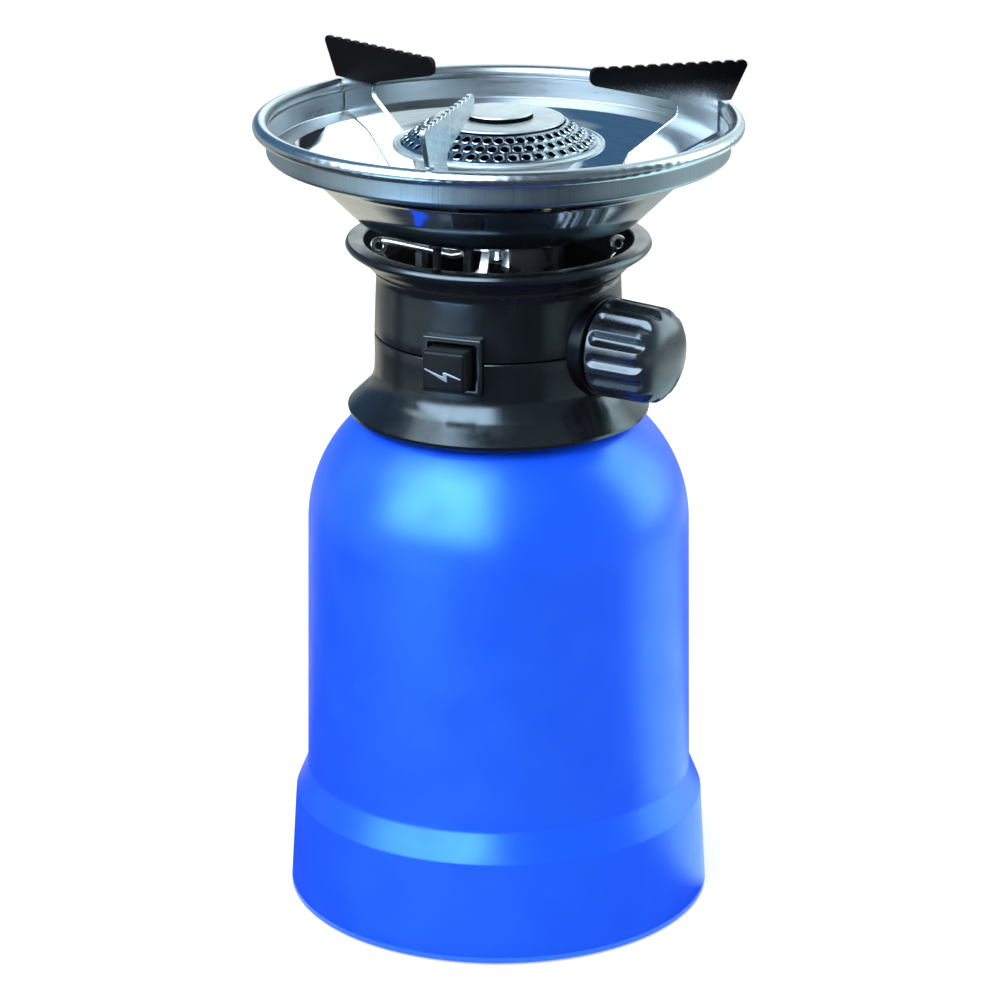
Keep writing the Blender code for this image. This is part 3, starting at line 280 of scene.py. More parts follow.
def tube(name, route, radius, sides=20):
    """A round wire along points in millimetres, with rounded ends."""
    path = bpy.data.curves.new(name, "CURVE")
    path.dimensions = "3D"
    path.bevel_depth = radius * mm
    path.bevel_resolution = sides // 4
    path.use_fill_caps = True
    line = path.splines.new("NURBS")
    line.points.add(len(route) - 1)
    for point, spot in zip(line.points, route):
        point.co = (*[value * mm for value in spot], 1)
    line.use_endpoint_u = True
    line.order_u = 3
    line.resolution_u = 8
    holder = placed(name, path)
    mesh = evaluated(holder)
    mesh.name = name
    bpy.data.objects.remove(holder)
    mesh.materials.clear()
    return smooth(mesh)


def polar(radius, azimuth, height=0.0):
    """The point at a distance from the axis, an azimuth in degrees and a height."""
    return (radius * cos(radians(azimuth)), radius * sin(radians(azimuth)), height)


def cut(piece, mesh, matrix=None):
    """Cuts a closed mesh out of a piece, for good."""
    if matrix:
        mesh.transform(matrix)
    tool = placed("cutter", mesh)
    change = piece.modifiers.new("cut", "BOOLEAN")
    change.operation = "DIFFERENCE"
    change.solver = "EXACT"
    change.object = tool
    result = evaluated(piece)
    piece.modifiers.remove(change)
    piece.data = smooth(result)
    bpy.data.objects.remove(tool)


# Materials: noise scales are per metre, bump depths in millimetres
class Look:
    """A Principled material and the few nodes that its recipes share."""

    def __init__(self, name, colour, roughness, metallic=0.0):
        self.material = bpy.data.materials.new(name)
        self.material.use_nodes = True
        self.tree = self.material.node_tree
        self.shader = self.tree.nodes["Principled BSDF"]
        self.constant("Base Color", (*colour, 1))
        self.constant("Roughness", roughness)
        self.constant("Metallic", metallic)
        self.material.diffuse_color = (*colour, 1)
        self.place = self.add("ShaderNodeTexCoord").outputs["Object"]

    def constant(self, key, value):
        self.shader.inputs[key].default_value = value

    def add(self, kind, inputs=(), **settings):
        node = self.tree.nodes.new(kind)
        for key, value in settings.items():
            setattr(node, key, value)
        for key, value in dict(inputs).items():
            node.inputs[key].default_value = value
        return node

    def link(self, source, target):
        self.tree.links.new(source, target)

    def math(self, operation, first, second=None):
        node = self.add("ShaderNodeMath", operation=operation)
        for socket, value in zip(node.inputs, (first, second)):
            if value is None:
                continue
            if isinstance(value, (int, float)):
                socket.default_value = value
            else:
                self.link(value, socket)
        return node.outputs[0]

    def vector(self, operation, source, second=None):
        """A vector operation on a source and, where it takes two, a constant."""
        node = self.add("ShaderNodeVectorMath", operation=operation)
        self.link(source, node.inputs[0])
        if second:
            node.inputs[1].default_value = second
        return node

    def scaled(self, factors, source=None):
        """The object's coordinates, each multiplied by its own factor."""
        return self.vector("MULTIPLY", source or self.place, factors).outputs[0]

    def height(self, source=None):
        """The Z of a vector, or of the object's coordinates."""
        parts = self.add("ShaderNodeSeparateXYZ")
        self.link(source or self.place, parts.inputs[0])
        return parts.outputs["Z"]

    def round_the_axis(self, turn, out, up):
        """Coordinates that run round the axis, for marks left by turning.

        X and Y are the direction from the axis times turn, and Z is the distance from the axis
        times out plus the height times up.
        """
        flat = self.scaled((1, 1, 0))
        length = self.vector("LENGTH", flat).outputs["Value"]
        direction = self.vector("NORMALIZE", flat).outputs[0]
        whole = self.add("ShaderNodeCombineXYZ")
        self.link(self.math("ADD", self.math("MULTIPLY", length, out),
                            self.math("MULTIPLY", self.height(), up)), whole.inputs["Z"])
        both = self.vector("ADD", self.scaled((turn, turn, 0), direction))
        self.link(whole.outputs[0], both.inputs[1])
        return both.outputs[0]

    def noise(self, scale, detail, roughness=0.55, source=None):
        node = self.add("ShaderNodeTexNoise",
                        {"Scale": scale, "Detail": detail, "Roughness": roughness})
        self.link(source or self.place, node.inputs["Vector"])
        return node.outputs["Fac"]

    def ranged(self, source, low, high, from_low=0.3, from_high=0.7):
        node = self.add("ShaderNodeMapRange", {"From Min": from_low, "From Max": from_high,
                                               "To Min": low, "To Max": high})
        self.link(source, node.inputs["Value"])
        return node.outputs["Result"]

    def mixed(self, factor, first, second):
        node = self.add("ShaderNodeMix", data_type="RGBA")
        self.link(factor, node.inputs[0])
        for socket, value in ((node.inputs[6], first), (node.inputs[7], second)):
            if isinstance(value, tuple):
                socket.default_value = (*value, 1)
            else:
                self.link(value, socket)
        return node.outputs[2]

    def colour(self, source):
        self.link(source, self.shader.inputs["Base Color"])

    def rough(self, source):
        self.link(source, self.shader.inputs["Roughness"])

    def bump(self, source, distance, strength):
        """A bump of the given depth in millimetres, on top of the bumps so far."""
        node = self.add("ShaderNodeBump", {"Strength": strength, "Distance": distance * mm})
        self.link(source, node.inputs["Height"])
        old = self.shader.inputs["Normal"]
        if old.links:
            self.link(old.links[0].from_socket, node.inputs["Normal"])
        self.link(node.outputs["Normal"], old)

    def shine(self, level, tint=(1, 1, 1)):
        self.constant("Specular IOR Level", level)
        self.constant("Specular Tint", (*tint, 1))

    def clouds(self, scale, detail, dark, pale):
        """Lets the colour drift between two tones."""
        self.colour(self.mixed(self.ranged(self.noise(scale, detail), 0, 1), dark, pale))

    def wear(self, scale, detail, low, high):
        """Lets the roughness drift between two values."""
        self.rough(self.ranged(self.noise(scale, detail), low, high))

    def grain(self, scale, detail, depth, strength):
        """Adds a bump of noise."""
        self.bump(self.noise(scale, detail), depth, strength)


def toned(colour, share):
    return tuple(value * share for value in colour)


def blue_look():
    """Matt blue coating with a fine grain."""
    look = Look("blue_coating", (0.002, 0.082, 0.95), 0.42)
    look.clouds(14, 4, (0.001, 0.064, 0.92), (0.0015, 0.071, 0.98))
    look.wear(90, 4, 0.32, 0.41)
    look.grain(1600, 2, 0.02, 0.5)
    look.grain(160, 2, 0.02, 0.35)
    look.constant("IOR", 1.65)
    look.shine(1.0, (0.29, 0.94, 1.0))
    return look.material


def gloss_look():
    """Glossy black moulding with faint flow marks and handling marks."""
    look = Look("black_gloss", (0.005, 0.006, 0.007), 0.2)
    streaks = look.noise(1, 4, 0.6, look.round_the_axis(5.0, 260, 90))
    look.rough(look.ranged(streaks, 0.12, 0.30))
    look.clouds(40, 4, (0.0035, 0.004, 0.005), (0.007, 0.008, 0.010))
    look.grain(70, 2, 0.10, 0.6)
    look.grain(900, 2, 0.01, 0.5)
    look.shine(0.8, (0.72, 0.92, 1.0))
    return look.material


def soft_black_look(name, colour, roughness, level):
    """Satin black plastic with a given specular level."""
    look = Look(name, colour, roughness)
    look.wear(120, 4, roughness - 0.07, roughness + 0.08)
    look.clouds(60, 4, colour, toned(colour, 1.6))
    look.grain(1900, 2, 0.02, 0.5)
    look.grain(110, 2, 0.06, 0.4)
    look.shine(level, (0.78, 0.92, 1.0))
    return look.material


def support_painted_light_look(name, low, high, spread):
    """Black steel that turns to pale steel colour between two heights in millimetres, with a
    speckled edge. The pale band is a painted reflection of the bead and bowl wall.
    """
    look = Look(name, (0.02, 0.02, 0.022), 0.4, 1.0)
    speckle = look.noise(1500, 4, 0.7)
    drift = look.math("MULTIPLY", look.math("SUBTRACT", speckle, 0.5), spread * mm)
    reflected_share = look.ranged(look.math("ADD", look.height(), drift), 1, 0, low * mm, high * mm)
    black, metal = (0.010, 0.010, 0.011), (0.66, 0.71, 0.73)
    look.colour(look.mixed(look.math("POWER", reflected_share, 2.2), black, metal))
    look.rough(look.ranged(reflected_share, 0.42, 0.16, 0.0, 1.0))
    look.bump(speckle, 0.02, 0.5)
    return look.material


def steel_look(name, colour, low, high, lines, depth, waves=0.0):
    """Stainless steel. Its fine lines are noise on round_the_axis(*lines)."""
    look = Look(name, colour, (low + high) / 2, 1.0)
    grain = look.noise(1, 5, 0.65, look.round_the_axis(*lines))
    look.rough(look.ranged(grain, low, high))
    look.colour(look.mixed(look.ranged(grain, 0, 1), toned(colour, 0.82), colour))
    look.bump(grain, depth, 0.8)
    if waves:
        look.bump(look.noise(55, 2), waves, 0.6)
    return look.material


def plain_metal_look(name, colour, low, high, scale=1300, depth=0.02):
    """Cast, plated or turned metal with a fine even grain."""
    look = Look(name, colour, (low + high) / 2, 1.0)
    look.wear(220, 4, low, high)
    look.clouds(150, 5, toned(colour, 0.8), colour)
    look.grain(scale, 3, depth, 0.6)
    return look.material


def rubber_look(name, colour, roughness):
    look = Look(name, colour, roughness)
    look.wear(300, 4, roughness - 0.08, roughness + 0.08)
    look.grain(1500, 3, 0.03, 0.6)
    look.shine(0.25)
    return look.material


def ceramic_look():
    look = Look("brown_ceramic", (0.05, 0.035, 0.025), 0.3)
    look.clouds(200, 4, (0.010, 0.008, 0.007), (0.018, 0.014, 0.011))
    look.wear(260, 4, 0.22, 0.4)
    look.grain(900, 3, 0.02, 0.5)
    return look.material


def painted_can_look():
    look = Look("can_paint", (0.05, 0.17, 0.55), 0.34)
    look.clouds(25, 4, (0.045, 0.15, 0.50), (0.06, 0.19, 0.60))
    look.wear(160, 5, 0.26, 0.44)
    look.grain(700, 3, 0.02, 0.5)
    look.constant("Coat Weight", 0.3)
    return look.material


blue = blue_look()
gloss = gloss_look()
soft_black = soft_black_look("soft_black", (0.005, 0.005, 0.005), 0.36, 0.18)
knob_satin = soft_black_look("knob_satin", (0.008, 0.011, 0.015), 0.24, 1.0)
silver_mark = plain_metal_look("silver_mark", (0.36, 0.40, 0.43), 0.35, 0.5)
bead_steel = steel_look("bead_steel", (0.56, 0.66, 0.70), 0.16, 0.30, (3, 1600, 1600), 0.01, 0.03)
wall_steel = steel_look("wall_steel", (0.40, 0.50, 0.55), 0.26, 0.40, (150, 8, 8), 0.012, 0.03)
inner_steel = steel_look("inner_steel", (0.42, 0.455, 0.46), 0.24, 0.40, (3, 700, 700), 0.005)
under_steel = steel_look("under_steel", (0.62, 0.70, 0.76), 0.05, 0.12, (4, 1200, 1200), 0.004)
mirror_steel = steel_look("mirror_steel", (0.62, 0.70, 0.74), 0.03, 0.08, (4, 1200, 1200), 0.004,
                          0.02)
support_steel = plain_metal_look("support_steel", (0.70, 0.76, 0.78), 0.16, 0.28, 900, 0.005)
# Painted light: two of the like supports dark with pale bands that are painted reflections of the
# bead
graded_black_painted_reflection = support_painted_light_look("graded_black_painted_reflection", 195.6, 203.0, 4.0)
rim_black_painted_reflection = support_painted_light_look("rim_black_painted_reflection", 196.0, 197.2, 1.2)
burner_metal = plain_metal_look("burner_metal", (0.72, 0.79, 0.79), 0.42, 0.55, 2400, 0.03)
# Painted reflection: darker and bluer than the cup's metal, for the dark blue the ring reflects
port_metal_painted_reflection = plain_metal_look("port_metal_painted_reflection", (0.42, 0.54, 0.64), 0.06, 0.13, 1200, 0.01)
# Painted shade: near-black for the insides of the burner's cup and ports and for the cap's groove
# and underside
painted_shade_black = soft_black_look("painted_shade_black", (0.001, 0.001, 0.001), 0.60, 0.02)
seat_black = soft_black_look("seat_black", (0.002, 0.002, 0.003), 0.30, 0.12)
zinc = plain_metal_look("zinc_plate", (0.58, 0.60, 0.62), 0.22, 0.4, 900, 0.02)
bright_zinc = plain_metal_look("bright_zinc", (0.86, 0.87, 0.86), 0.16, 0.3, 900, 0.015)
nickel = plain_metal_look("nickel_plate", (0.70, 0.80, 0.83), 0.10, 0.2, 900, 0.01)
wire_steel = plain_metal_look("wire_steel", (0.90, 0.92, 0.92), 0.28, 0.38, 900, 0.01)
brass = plain_metal_look("turned_brass", (0.72, 0.52, 0.22), 0.2, 0.36, 900, 0.02)
soot = rubber_look("dull_black", (0.008, 0.008, 0.009), 0.8)
rubber = rubber_look("seal_rubber", (0.02, 0.02, 0.02), 0.75)
lead_sleeve = rubber_look("lead_sleeve", (0.025, 0.025, 0.027), 0.5)
ceramic = ceramic_look()
can_paint = painted_can_look()


# Pieces
def housing_shell():
    """The blue shell: skirt, tapered body, domed shoulder and neck."""
    centre, run, rise, wall = (8.67, 96.0), 37.93, 36.0, 1.4
    neck_angle, inner_neck_angle, side_angle = 55.6, 51.6, 2
    outer = [(24.0, 125.7, 0.3)] + arc(centre, run, rise, neck_angle, side_angle, 26)
    outer += [(46.6, 96.0), (47.7, 32.8, 3.0), (50.7, 25.6, 2.0), (52.3, 0.5, 0.5)]
    inner = [(50.9, 0.5, 0.4), (50.4, 8.3), (48.2, 8.3, 0.3), (48.2, 10.3, 0.3), (50.2, 10.3),
             (49.3, 24.9, 1.0), (46.3, 32.1, 2.0)]
    inner += arc(centre, run - wall, rise - wall, 0, inner_neck_angle, 10)
    inner += [(26.0, 122.7), (26.0, 114.7, 0.4), (24.0, 114.7, 0.4)]
    mesh = lathe("housing_shell", split_long(rounded(outer + inner), 6), body_steps)
    put(mesh, [blue], ["cartridge_housing"], body="housing")


def base_dish():
    """The base closure with its foot ring, pad and pedestal."""
    outline = rounded([
        (0, 3.4), (38.0, 3.4, 0.6), (38.0, 10.3, 0.5), (40.2, 10.3, 0.5), (40.2, 3.4, 0.6),
        (47.6, 3.4, 0.5), (47.6, 8.0, 0.4), (50.0, 8.0, 0.4), (50.0, 0.0, 0.6), (44.5, 0.0, 0.6),
        (44.5, 1.2, 0.3), (25.2, 1.2, 0.4), (24.0, 0.0, 0.5), (0, 0.0)], closed=False)
    mesh = lathe("base_dish", split_long(outline, 5, closed=False), 160)
    put(mesh, [blue], ["base_closure"], body="base")


def cartridge():
    """The gas can: rolled seam at the shoulder, recessed top and the puncture."""
    puncture, sheet, half_height = 1.4, 0.4, 60
    outline = [(puncture, 103.8), (13.0, 103.8), (13.6, 104.0), (14.2, 103.6), (14.8, 101.2),
               (15.6, 100.9)]
    outline += arc((15.6, 80.9), 29.0, 20.0, 88, 3, 16)
    outline += [(44.6, 79.8), (44.6, 79.0), (44.6, 78.2), (44.5, 77.5), (44.5, 19.0)]
    outline += arc((40.6, 17.6), 4.0, 7.0, 0, -90, 6)
    outline += [(34.4, 10.6), (28.4, 13.6), (0.0, 16.6)]
    inside = []
    for radius, height in reversed(outline):
        if radius > puncture:
            radius = max(radius - sheet, 0.0)
        inside.append((radius, height + (-sheet if height > half_height else sheet)))
    mesh = lathe("gas_can", inside + outline, 128)
    put(mesh, [can_paint], ["gas_cartridge"], body="base")


def collars():
    """The two black mouldings, glossy outside and dull inside."""
    bore, lip_bore, lip_low, lip_high = 28.75, 32.0, 159.9, 166.6

    def inside(radius, height):
        return int(radius < bore or radius < lip_bore and lip_low < height < lip_high)

    flare = rounded([(29.9, 138.4), (30.1, 131.8, 10.0), (36.5, 125.6)], closed=False, steps=14)
    lower = flare[:-1] + rounded([
        (36.5, 125.6, 0.3), (36.3, 124.6, 0.3), (35.0, 124.6, 0.3), (33.5, 126.0), (23.7, 126.0),
        (23.7, 113.0, 0.4), (21.0, 113.0, 0.4), (21.0, 128.4), (28.1, 128.4), (28.1, 142.0),
        (29.0, 142.0), (29.0, 143.8), (29.9, 143.8, 0.35), (29.9, 138.4)], closed=False)[:-1]
    upper = rounded([
        (32.3, 166.7, 0.5), (36.3, 166.7, 0.7), (36.7, 165.6, 0.5), (36.2, 164.8, 0.4),
        (32.5, 162.2, 2.0), (29.35, 158.9, 3.0), (29.9, 144.15, 0.3), (28.7, 144.15),
        (28.7, 142.4), (28.1, 142.4), (27.6, 159.6), (31.8, 164.6, 0.6)])
    for name, outline, node in (("collar_base", lower, "collar_lower"),
                                ("collar_flange", upper, "collar_upper")):
        mesh = lathe(name, split_long(outline, 3), body_steps, finish=inside)
        piece = put(mesh, [gloss, soot], [node])
        for opening in (knob_opening, window_opening):
            cut(piece, *opening())


# Frames of the knob and the button, whose local Z runs outward from the stove's axis
knob_height, knob_azimuth = 144.6, -34.0
button_height, button_azimuth = 143.4, 249.5
knob_frame = shift(0, 0, knob_height) @ outward(knob_azimuth)
button_frame = shift(0, 0, button_height) @ outward(button_azimuth)


def knob_opening():
    """The round hole in the collar behind the knob."""
    outline = [(0, 20.0), (7.4, 20.0), (7.4, 36.0), (0, 36.0)]
    return lathe("opening", outline, 64), knob_frame


def window_opening():
    """The square hole in the collar round the button."""
    return block("opening", (-7.0, -6.5, 24.0), (7.0, 6.5, 36.0)), button_frame


def knob():
    """The fluted knob: its grooves are drawn into the side as it is turned."""
    foot, shoulder, crown_rise = 32.1, 43.6, 5.3
    foot_radius, shoulder_radius, roundness = 11.8, 11.5, 2 / 2.4
    side_rows, crown_rows = 52, 36
    side = [(0, 33.0), (3.3, 33.0), (3.3, 26.6), (5.4, 26.6), (5.4, 31.2), (6.0, 31.6),
            (10.8, 31.6)]
    side += arc((11.3, foot), 0.5, 0.5, -90, 0, 4)
    for row in range(1, side_rows):
        share = row / side_rows
        side.append((foot_radius + (shoulder_radius - foot_radius) * share,
                     foot + (shoulder - foot) * share))
    for row in range(crown_rows):
        angle = pi / 2 * row / crown_rows
        side.append((shoulder_radius * cos(angle) ** roundness,
                     shoulder + crown_rise * sin(angle) ** roundness))
    side.append((0.0, shoulder + crown_rise))

    flutes, half_width, depth, fullness = 14, 1.95, 0.95, 1.4
    start, end = foot + half_width, 47.2 - half_width
    mean_radius, least_radius, least_height = 11.6, 8, 31.9

    def flute(radius, height, angle):
        if height < least_height or radius < least_radius:
            return radius, height
        share = (angle * flutes / (2 * pi) + 0.5) % 1 - 0.5
        across = share * 2 * pi / flutes * mean_radius
        beyond = max(start - height, height - end, 0)
        reach = hypot(across, beyond) / half_width
        if reach >= 1:
            return radius, height
        return radius - depth * (1 - reach * reach) ** fullness, height

    mesh = smooth(lathe("knob_cap", side, 560, flute), 60)
    put(mesh, [knob_satin], ["control_knob"], knob_frame, "knob")


def knob_base_ring():
    """The dark ring between the knob and the collar."""
    outline = rounded([(12.1, 31.1, 0.8), (12.1, 26.2), (7.1, 26.2), (7.1, 30.4, 0.2),
                       (5.8, 31.1, 0.2)])
    piece = put(lathe("knob_seat", split_long(outline, 1.5), 128),
                [seat_black], ["knob_ring"], knob_frame)
    cut(piece, collar_wall())


def button():
    """The igniter button with its raised zigzag, its flange and stem."""
    key = block("igniter_key", (-5.3, -4.8, 25.6), (5.3, 4.8, 36.8), 0.8, 5)
    flange = block("key_flange", (-7.9, -7.4, 25.2), (7.9, 7.4, 26.6), 0.3, 2)
    stem = lathe("key_stem", [(0, 26.0), (2.0, 26.0), (2.0, 13.9), (0, 13.9)], 40)
    for mesh, replaced in ((key, ["igniter_button"]), (flange, ()), (stem, ())):
        put(mesh, [soft_black], replaced, button_frame, "button")
    bolt = [(-4.6, 0.6), (-1.4, -0.55), (0.0, -1.0), (-0.1, -0.1), (0.5, 0.05), (4.4, -1.2),
            (4.35, -1.55), (1.0, -0.65), (1.1, -2.3), (0.5, -2.2), (-4.6, 0.3)]
    put(plate("spark_mark", bolt, 0.5, 0.1), [silver_mark],
        matrix=button_frame @ shift(0, 0, 36.75), body="button")


def key_spring():
    """The button's return spring."""
    turns, points, radius, low, high = 4, 16, 3.3, 19.5, 24.5
    coil = []
    for step in range(turns * points + 1):
        angle = 2 * pi * step / points
        climb = (high - low) * step / (turns * points)
        coil.append((radius * cos(angle), radius * sin(angle), low + climb))
    piece = put(tube("key_spring", coil, 0.4, 12), [zinc],
                ["igniter_spring"], button_frame)
    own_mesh(piece)


def bezel():
    """The raised frame of the button's window, with its sleeve through the wall."""
    hole = (-6.1, -5.6, 26.0), (6.1, 5.6, 34.0), 0.5
    border = block("window_frame", (-7.3, -6.8, 27.8), (7.3, 6.8, 31.4), 0.35)
    border = put(border, [gloss], ["igniter_bezel"], button_frame)
    sleeve = block("window_sleeve", (-6.7, -6.2, 27.8), (6.7, 6.2, 31.1))
    sleeve = put(sleeve, [gloss], matrix=button_frame)
    for piece in (border, sleeve):
        cut(piece, block("opening", *hole), button_frame)
    cut(border, collar_wall())


def collar_wall():
    """The collar's outer face as a solid to cut with, a hair wider than the wall."""
    outline = [(0, 160.0), (29.45, 160.0), (29.95, 135.4), (30.7, 132.4), (32.6, 129.5),
               (36.4, 125.8), (36.3, 124.6), (0, 124.6)]
    return lathe("opening", outline, body_steps)


def bowl_floor_path():
    """The bowl's outer face in millimetres, from under the bead to the bore."""
    return rounded([
        (55.0, 193.6), (55.0, 187.9, 1.0), (50.6, 186.7, 2.0), (45.8, 184.4, 8.0),
        (34.0, 172.7, 1.5), (28.5, 170.7), (9.4, 170.6)], closed=False)


def bowl():
    """The wind shield: sheet with a crimped, rolled bead."""
    sheet, bead_centre, bead_radius = 0.7, (56.3, 194.6), 1.85
    outer = split_long(bowl_floor_path(), 2, closed=False)
    inner = offset(outer, sheet)[::-1]
    inner[-1] = (54.3, 193.4)
    bead = arc(bead_centre, bead_radius, bead_radius, 215, -120, 26)
    ripples, ripple_depth, least_swell, ripple_reach = 118, 0.07, 0.12, 1.9
    ripple_start, ripple_top = 55.6, 196.2
    bead_reach, bead_start, wall_start, ledge_start = 2.2, 55.05, 54.9, 49.5

    def crimp(radius, height, angle):
        """Small ripples on the bead's outer side, uneven round the bowl."""
        if radius < ripple_start or height > ripple_top:
            return radius, height
        swell = 0.35 + 0.65 * noise.noise(Vector((cos(angle) * 3, sin(angle) * 3, 0)))
        drift = 1.5 * noise.noise(Vector((cos(angle) * 9, sin(angle) * 9, 1)))
        wave = sin(ripples * angle + drift)
        side = max(0.0, 1 - abs(height - bead_centre[1]) / ripple_reach)
        return radius + ripple_depth * max(swell, least_swell) * wave * side, height

    def finish(radius, height):
        """Bead, upright wall and ledge, inner wall, floor, or cone seen from below."""
        from_bead = hypot(radius - bead_centre[0], height - bead_centre[1])
        if from_bead < bead_reach and radius > bead_start:
            return 0
        if radius > wall_start:
            return 1
        cone = 173.05 + 0.98 * max(radius - 34.0, -1.9)
        ledge = 185.0 + 0.42 * (radius - 45.8)
        under = height < min(cone, ledge)
        if radius > ledge_start:
            return 1 if under else 2
        return 4 if under else 3

    mesh = lathe("shield_bowl", bead + outer + inner, 1180, crimp, finish)
    put(mesh,
        [bead_steel, wall_steel, inner_steel, mirror_steel, under_steel], ["windshield_bowl"])


def burner_flange():
    """The burner's cup with the ridges of its flange."""
    outline = rounded([
        (25.2, 189.1, 0.25), (21.6, 189.1, 1.0), (10.1, 177.8, 1.5), (10.1, 171.6),
        (9.2, 171.6), (9.2, 178.1, 1.5), (21.0, 189.7, 0.6), (21.3, 190.0, 0.2), (23.9, 190.0, 0.2),
        (24.1, 189.8, 0.1), (24.4, 189.8, 0.1), (24.6, 190.1, 0.15), (25.2, 190.1, 0.3)])

    rim, foot, foot_height, rise = 21.4, 9.9, 178.6, 0.98

    # The cup's inside takes the painted shade
    def inside(radius, height):
        return int(radius < rim and height > foot_height + rise * (radius - foot))

    mesh = lathe("burner_dish", split_long(outline, 2), body_steps, finish=inside)
    put(mesh, [burner_metal, painted_shade_black], ["burner_cup"])


def burner_ports():
    """The perforated ring: three staggered rows of ports with raised rims."""
    columns, sides, sheet = 42, 20, 0.9
    low, high = Vector((23.3, 190.3)), Vector((16.0, 195.1))
    slope = high - low
    length = slope.length
    normal = Vector((slope.y, -slope.x)) / length
    rows = [0.04, 0.35, 0.66, 0.97]
    # Each port from its rim inward: distance from its centre and height over the outer face
    rim = ((1.24, 0.0), (1.1, 0.1), (0.98, 0.1), (0.88, -0.06), (0.88, -sheet))
    shape = bmesh.new()

    def spot(share, angle, out):
        """A point at a share of the slope, an angle and a height over the outer face."""
        flat = low + slope * share + normal * out
        return shape.verts.new((flat.x * cos(angle) * mm, flat.x * sin(angle) * mm, flat.y * mm))

    pitch = 2 * pi / columns
    count = columns * 4

    def line(share, out=0):
        return [spot(share, pitch * step / 4, out) for step in range(count)]

    lines = [line(share) for share in rows]
    foot, crown = line(0.0), line(1.0)
    band(shape, foot, lines[0])
    band(shape, lines[3], crown)
    for row in range(3):
        middle = (rows[row] + rows[row + 1]) / 2
        for column in range(columns):
            first = column * 4 + 2 * (row % 2)
            below = [lines[row][(first + step) % count] for step in range(5)]
            above = [lines[row + 1][(first + step) % count] for step in range(5)]
            centre = pitch * (first + 2) / 4
            radius_here = (low + slope * middle).x
            rings = []
            for reach, out in rim:
                ring = []
                for turn in around(sides):
                    ring.append(spot(middle + reach * sin(turn) / length,
                                     centre + reach * cos(turn) / radius_here, out))
                rings.append(ring)
            # The innermost face of each port takes the painted shade
            for depth, (outer_ring, inner_ring) in enumerate(zip(rings, rings[1:])):
                band(shape, outer_ring, inner_ring, depth // 3)
            fill_between(shape, below + above[::-1], rings[0])
    band(shape, foot, line(0.0, -sheet))
    band(shape, crown, line(1.0, -sheet))
    bmesh.ops.remove_doubles(shape, verts=shape.verts, dist=1e-7)
    put(finished(shape, "port_ring", 50),
        [port_metal_painted_reflection, painted_shade_black], ["burner_ring"])


def fill_between(shape, border, ring):
    """Triangles between a cell's border and the ring of its hole, both in turning order."""
    total_border, total_ring = len(border), len(ring)
    centre = sum((v.co for v in ring), Vector()) / total_ring
    across = (ring[0].co - centre).normalized()
    up = (ring[total_ring // 4].co - centre).normalized()

    def bearing(v):
        away = v.co - centre
        return atan2(away.dot(up), away.dot(across)) % (2 * pi)

    start = min(range(total_border),
                key=lambda i: min(bearing(border[i]), 2 * pi - bearing(border[i])))
    border = border[start:] + border[:start]
    angles_border = [bearing(v) for v in border]
    if angles_border[0] > pi:
        angles_border[0] -= 2 * pi
    angles_ring = around(total_ring)
    i = j = 0
    while i < total_border or j < total_ring:
        next_border = angles_border[i + 1] if i + 1 < total_border else angles_border[0] + 2 * pi
        next_ring = angles_ring[j + 1] if j + 1 < total_ring else 2 * pi
        here_border, here_ring = border[i % total_border], ring[j % total_ring]
        if j >= total_ring or (i < total_border and next_border <= next_ring):
            shape.faces.new((here_border, border[(i + 1) % total_border], here_ring))
            i += 1
        else:
            shape.faces.new((here_border, ring[(j + 1) % total_ring], here_ring))
            j += 1


def cap():
    """The burner's flat cap with its raised disc, with painted shade below and round the disc's
    wall.
    """
    disc_wall, disc_edge, underside = (8.0, 8.14), 197.2, 195.35
    outline = rounded([
        (0, 197.5), (8.05, 197.5, 0.45), (8.15, 196.05), (15.0, 196.0, 0.6), (15.6, 195.7, 0.3),
        (15.6, 195.3, 0.15), (14.4, 195.3), (13.9, 194.3, 0.2), (0, 194.3)], closed=False)

    def finish(radius, height):
        on_wall = disc_wall[0] < radius < disc_wall[1] and height < disc_edge
        return int(on_wall or height < underside)

    mesh = lathe("burner_top", split_long(outline, 3, closed=False), 160, finish=finish)
    put(mesh, [burner_metal, painted_shade_black], ["burner_cap"])


def support_outline():
    """A support's outline in millimetres, X outward and Y up."""
    top, inner, tip = 206.6, 22.2, 61.2
    teeth, margin, tooth_depth, land_share = 11, 2.0, 0.45, 0.5
    nose, corner, soft = 1.8, 1.2, 0.12
    pitch = (tip - inner - 2 * margin) / teeth
    land = pitch * land_share
    points = arc((inner + nose, top - nose), nose, nose, 180, 90, 6)
    for number in range(teeth):
        start = inner + margin + pitch * number
        valley = start + (pitch + land) / 2
        points += [(start + 0.15, top), (start + land - 0.2, top),
                   (start + land + 0.15, top - soft), (valley - 0.25, top - tooth_depth),
                   (valley + 0.25, top - tooth_depth), (start + pitch - 0.15, top - soft)]
    points += arc((tip - corner, top - corner), corner, corner, 90, -15, 6)
    points += [(57.5, 197.4), (57.2, 196.95), (54.0, 196.95), (54.0, 189.4)]
    floor_gap = 0.95
    floor_line = offset(bowl_floor_path(), floor_gap)
    points += [point for point in floor_line if 30.6 < point[0] < 53.7]
    points += [(30.0, 171.6), (29.6, 170.95), (27.2, 170.95), (27.0, 174.2), (32.0, 185.4)]
    points += arc((41.3, 195.3), 2.6, 2.6, -38, 72, 6)
    points += arc((inner + 2.0, top - 2.7), 2.0, 1.9, 250, 180, 6)
    return points


def supports():
    """Three upright plates with serrated tops, two dark and one steel coloured: a painted
    difference of light between like supports.
    """
    sheet, edge = 1.2, 0.12
    # Painted light: the supports differ in look only by how light falls on them
    places = ((14.0, graded_black_painted_reflection), (134.0, rim_black_painted_reflection), (254.0, support_steel))
    for number, (azimuth, look) in enumerate(places, 1):
        mesh = plate(f"pan_rest_{number}", support_outline(), sheet, edge)
        put(mesh, [look], [f"pot_support_{number}"], upright(azimuth))


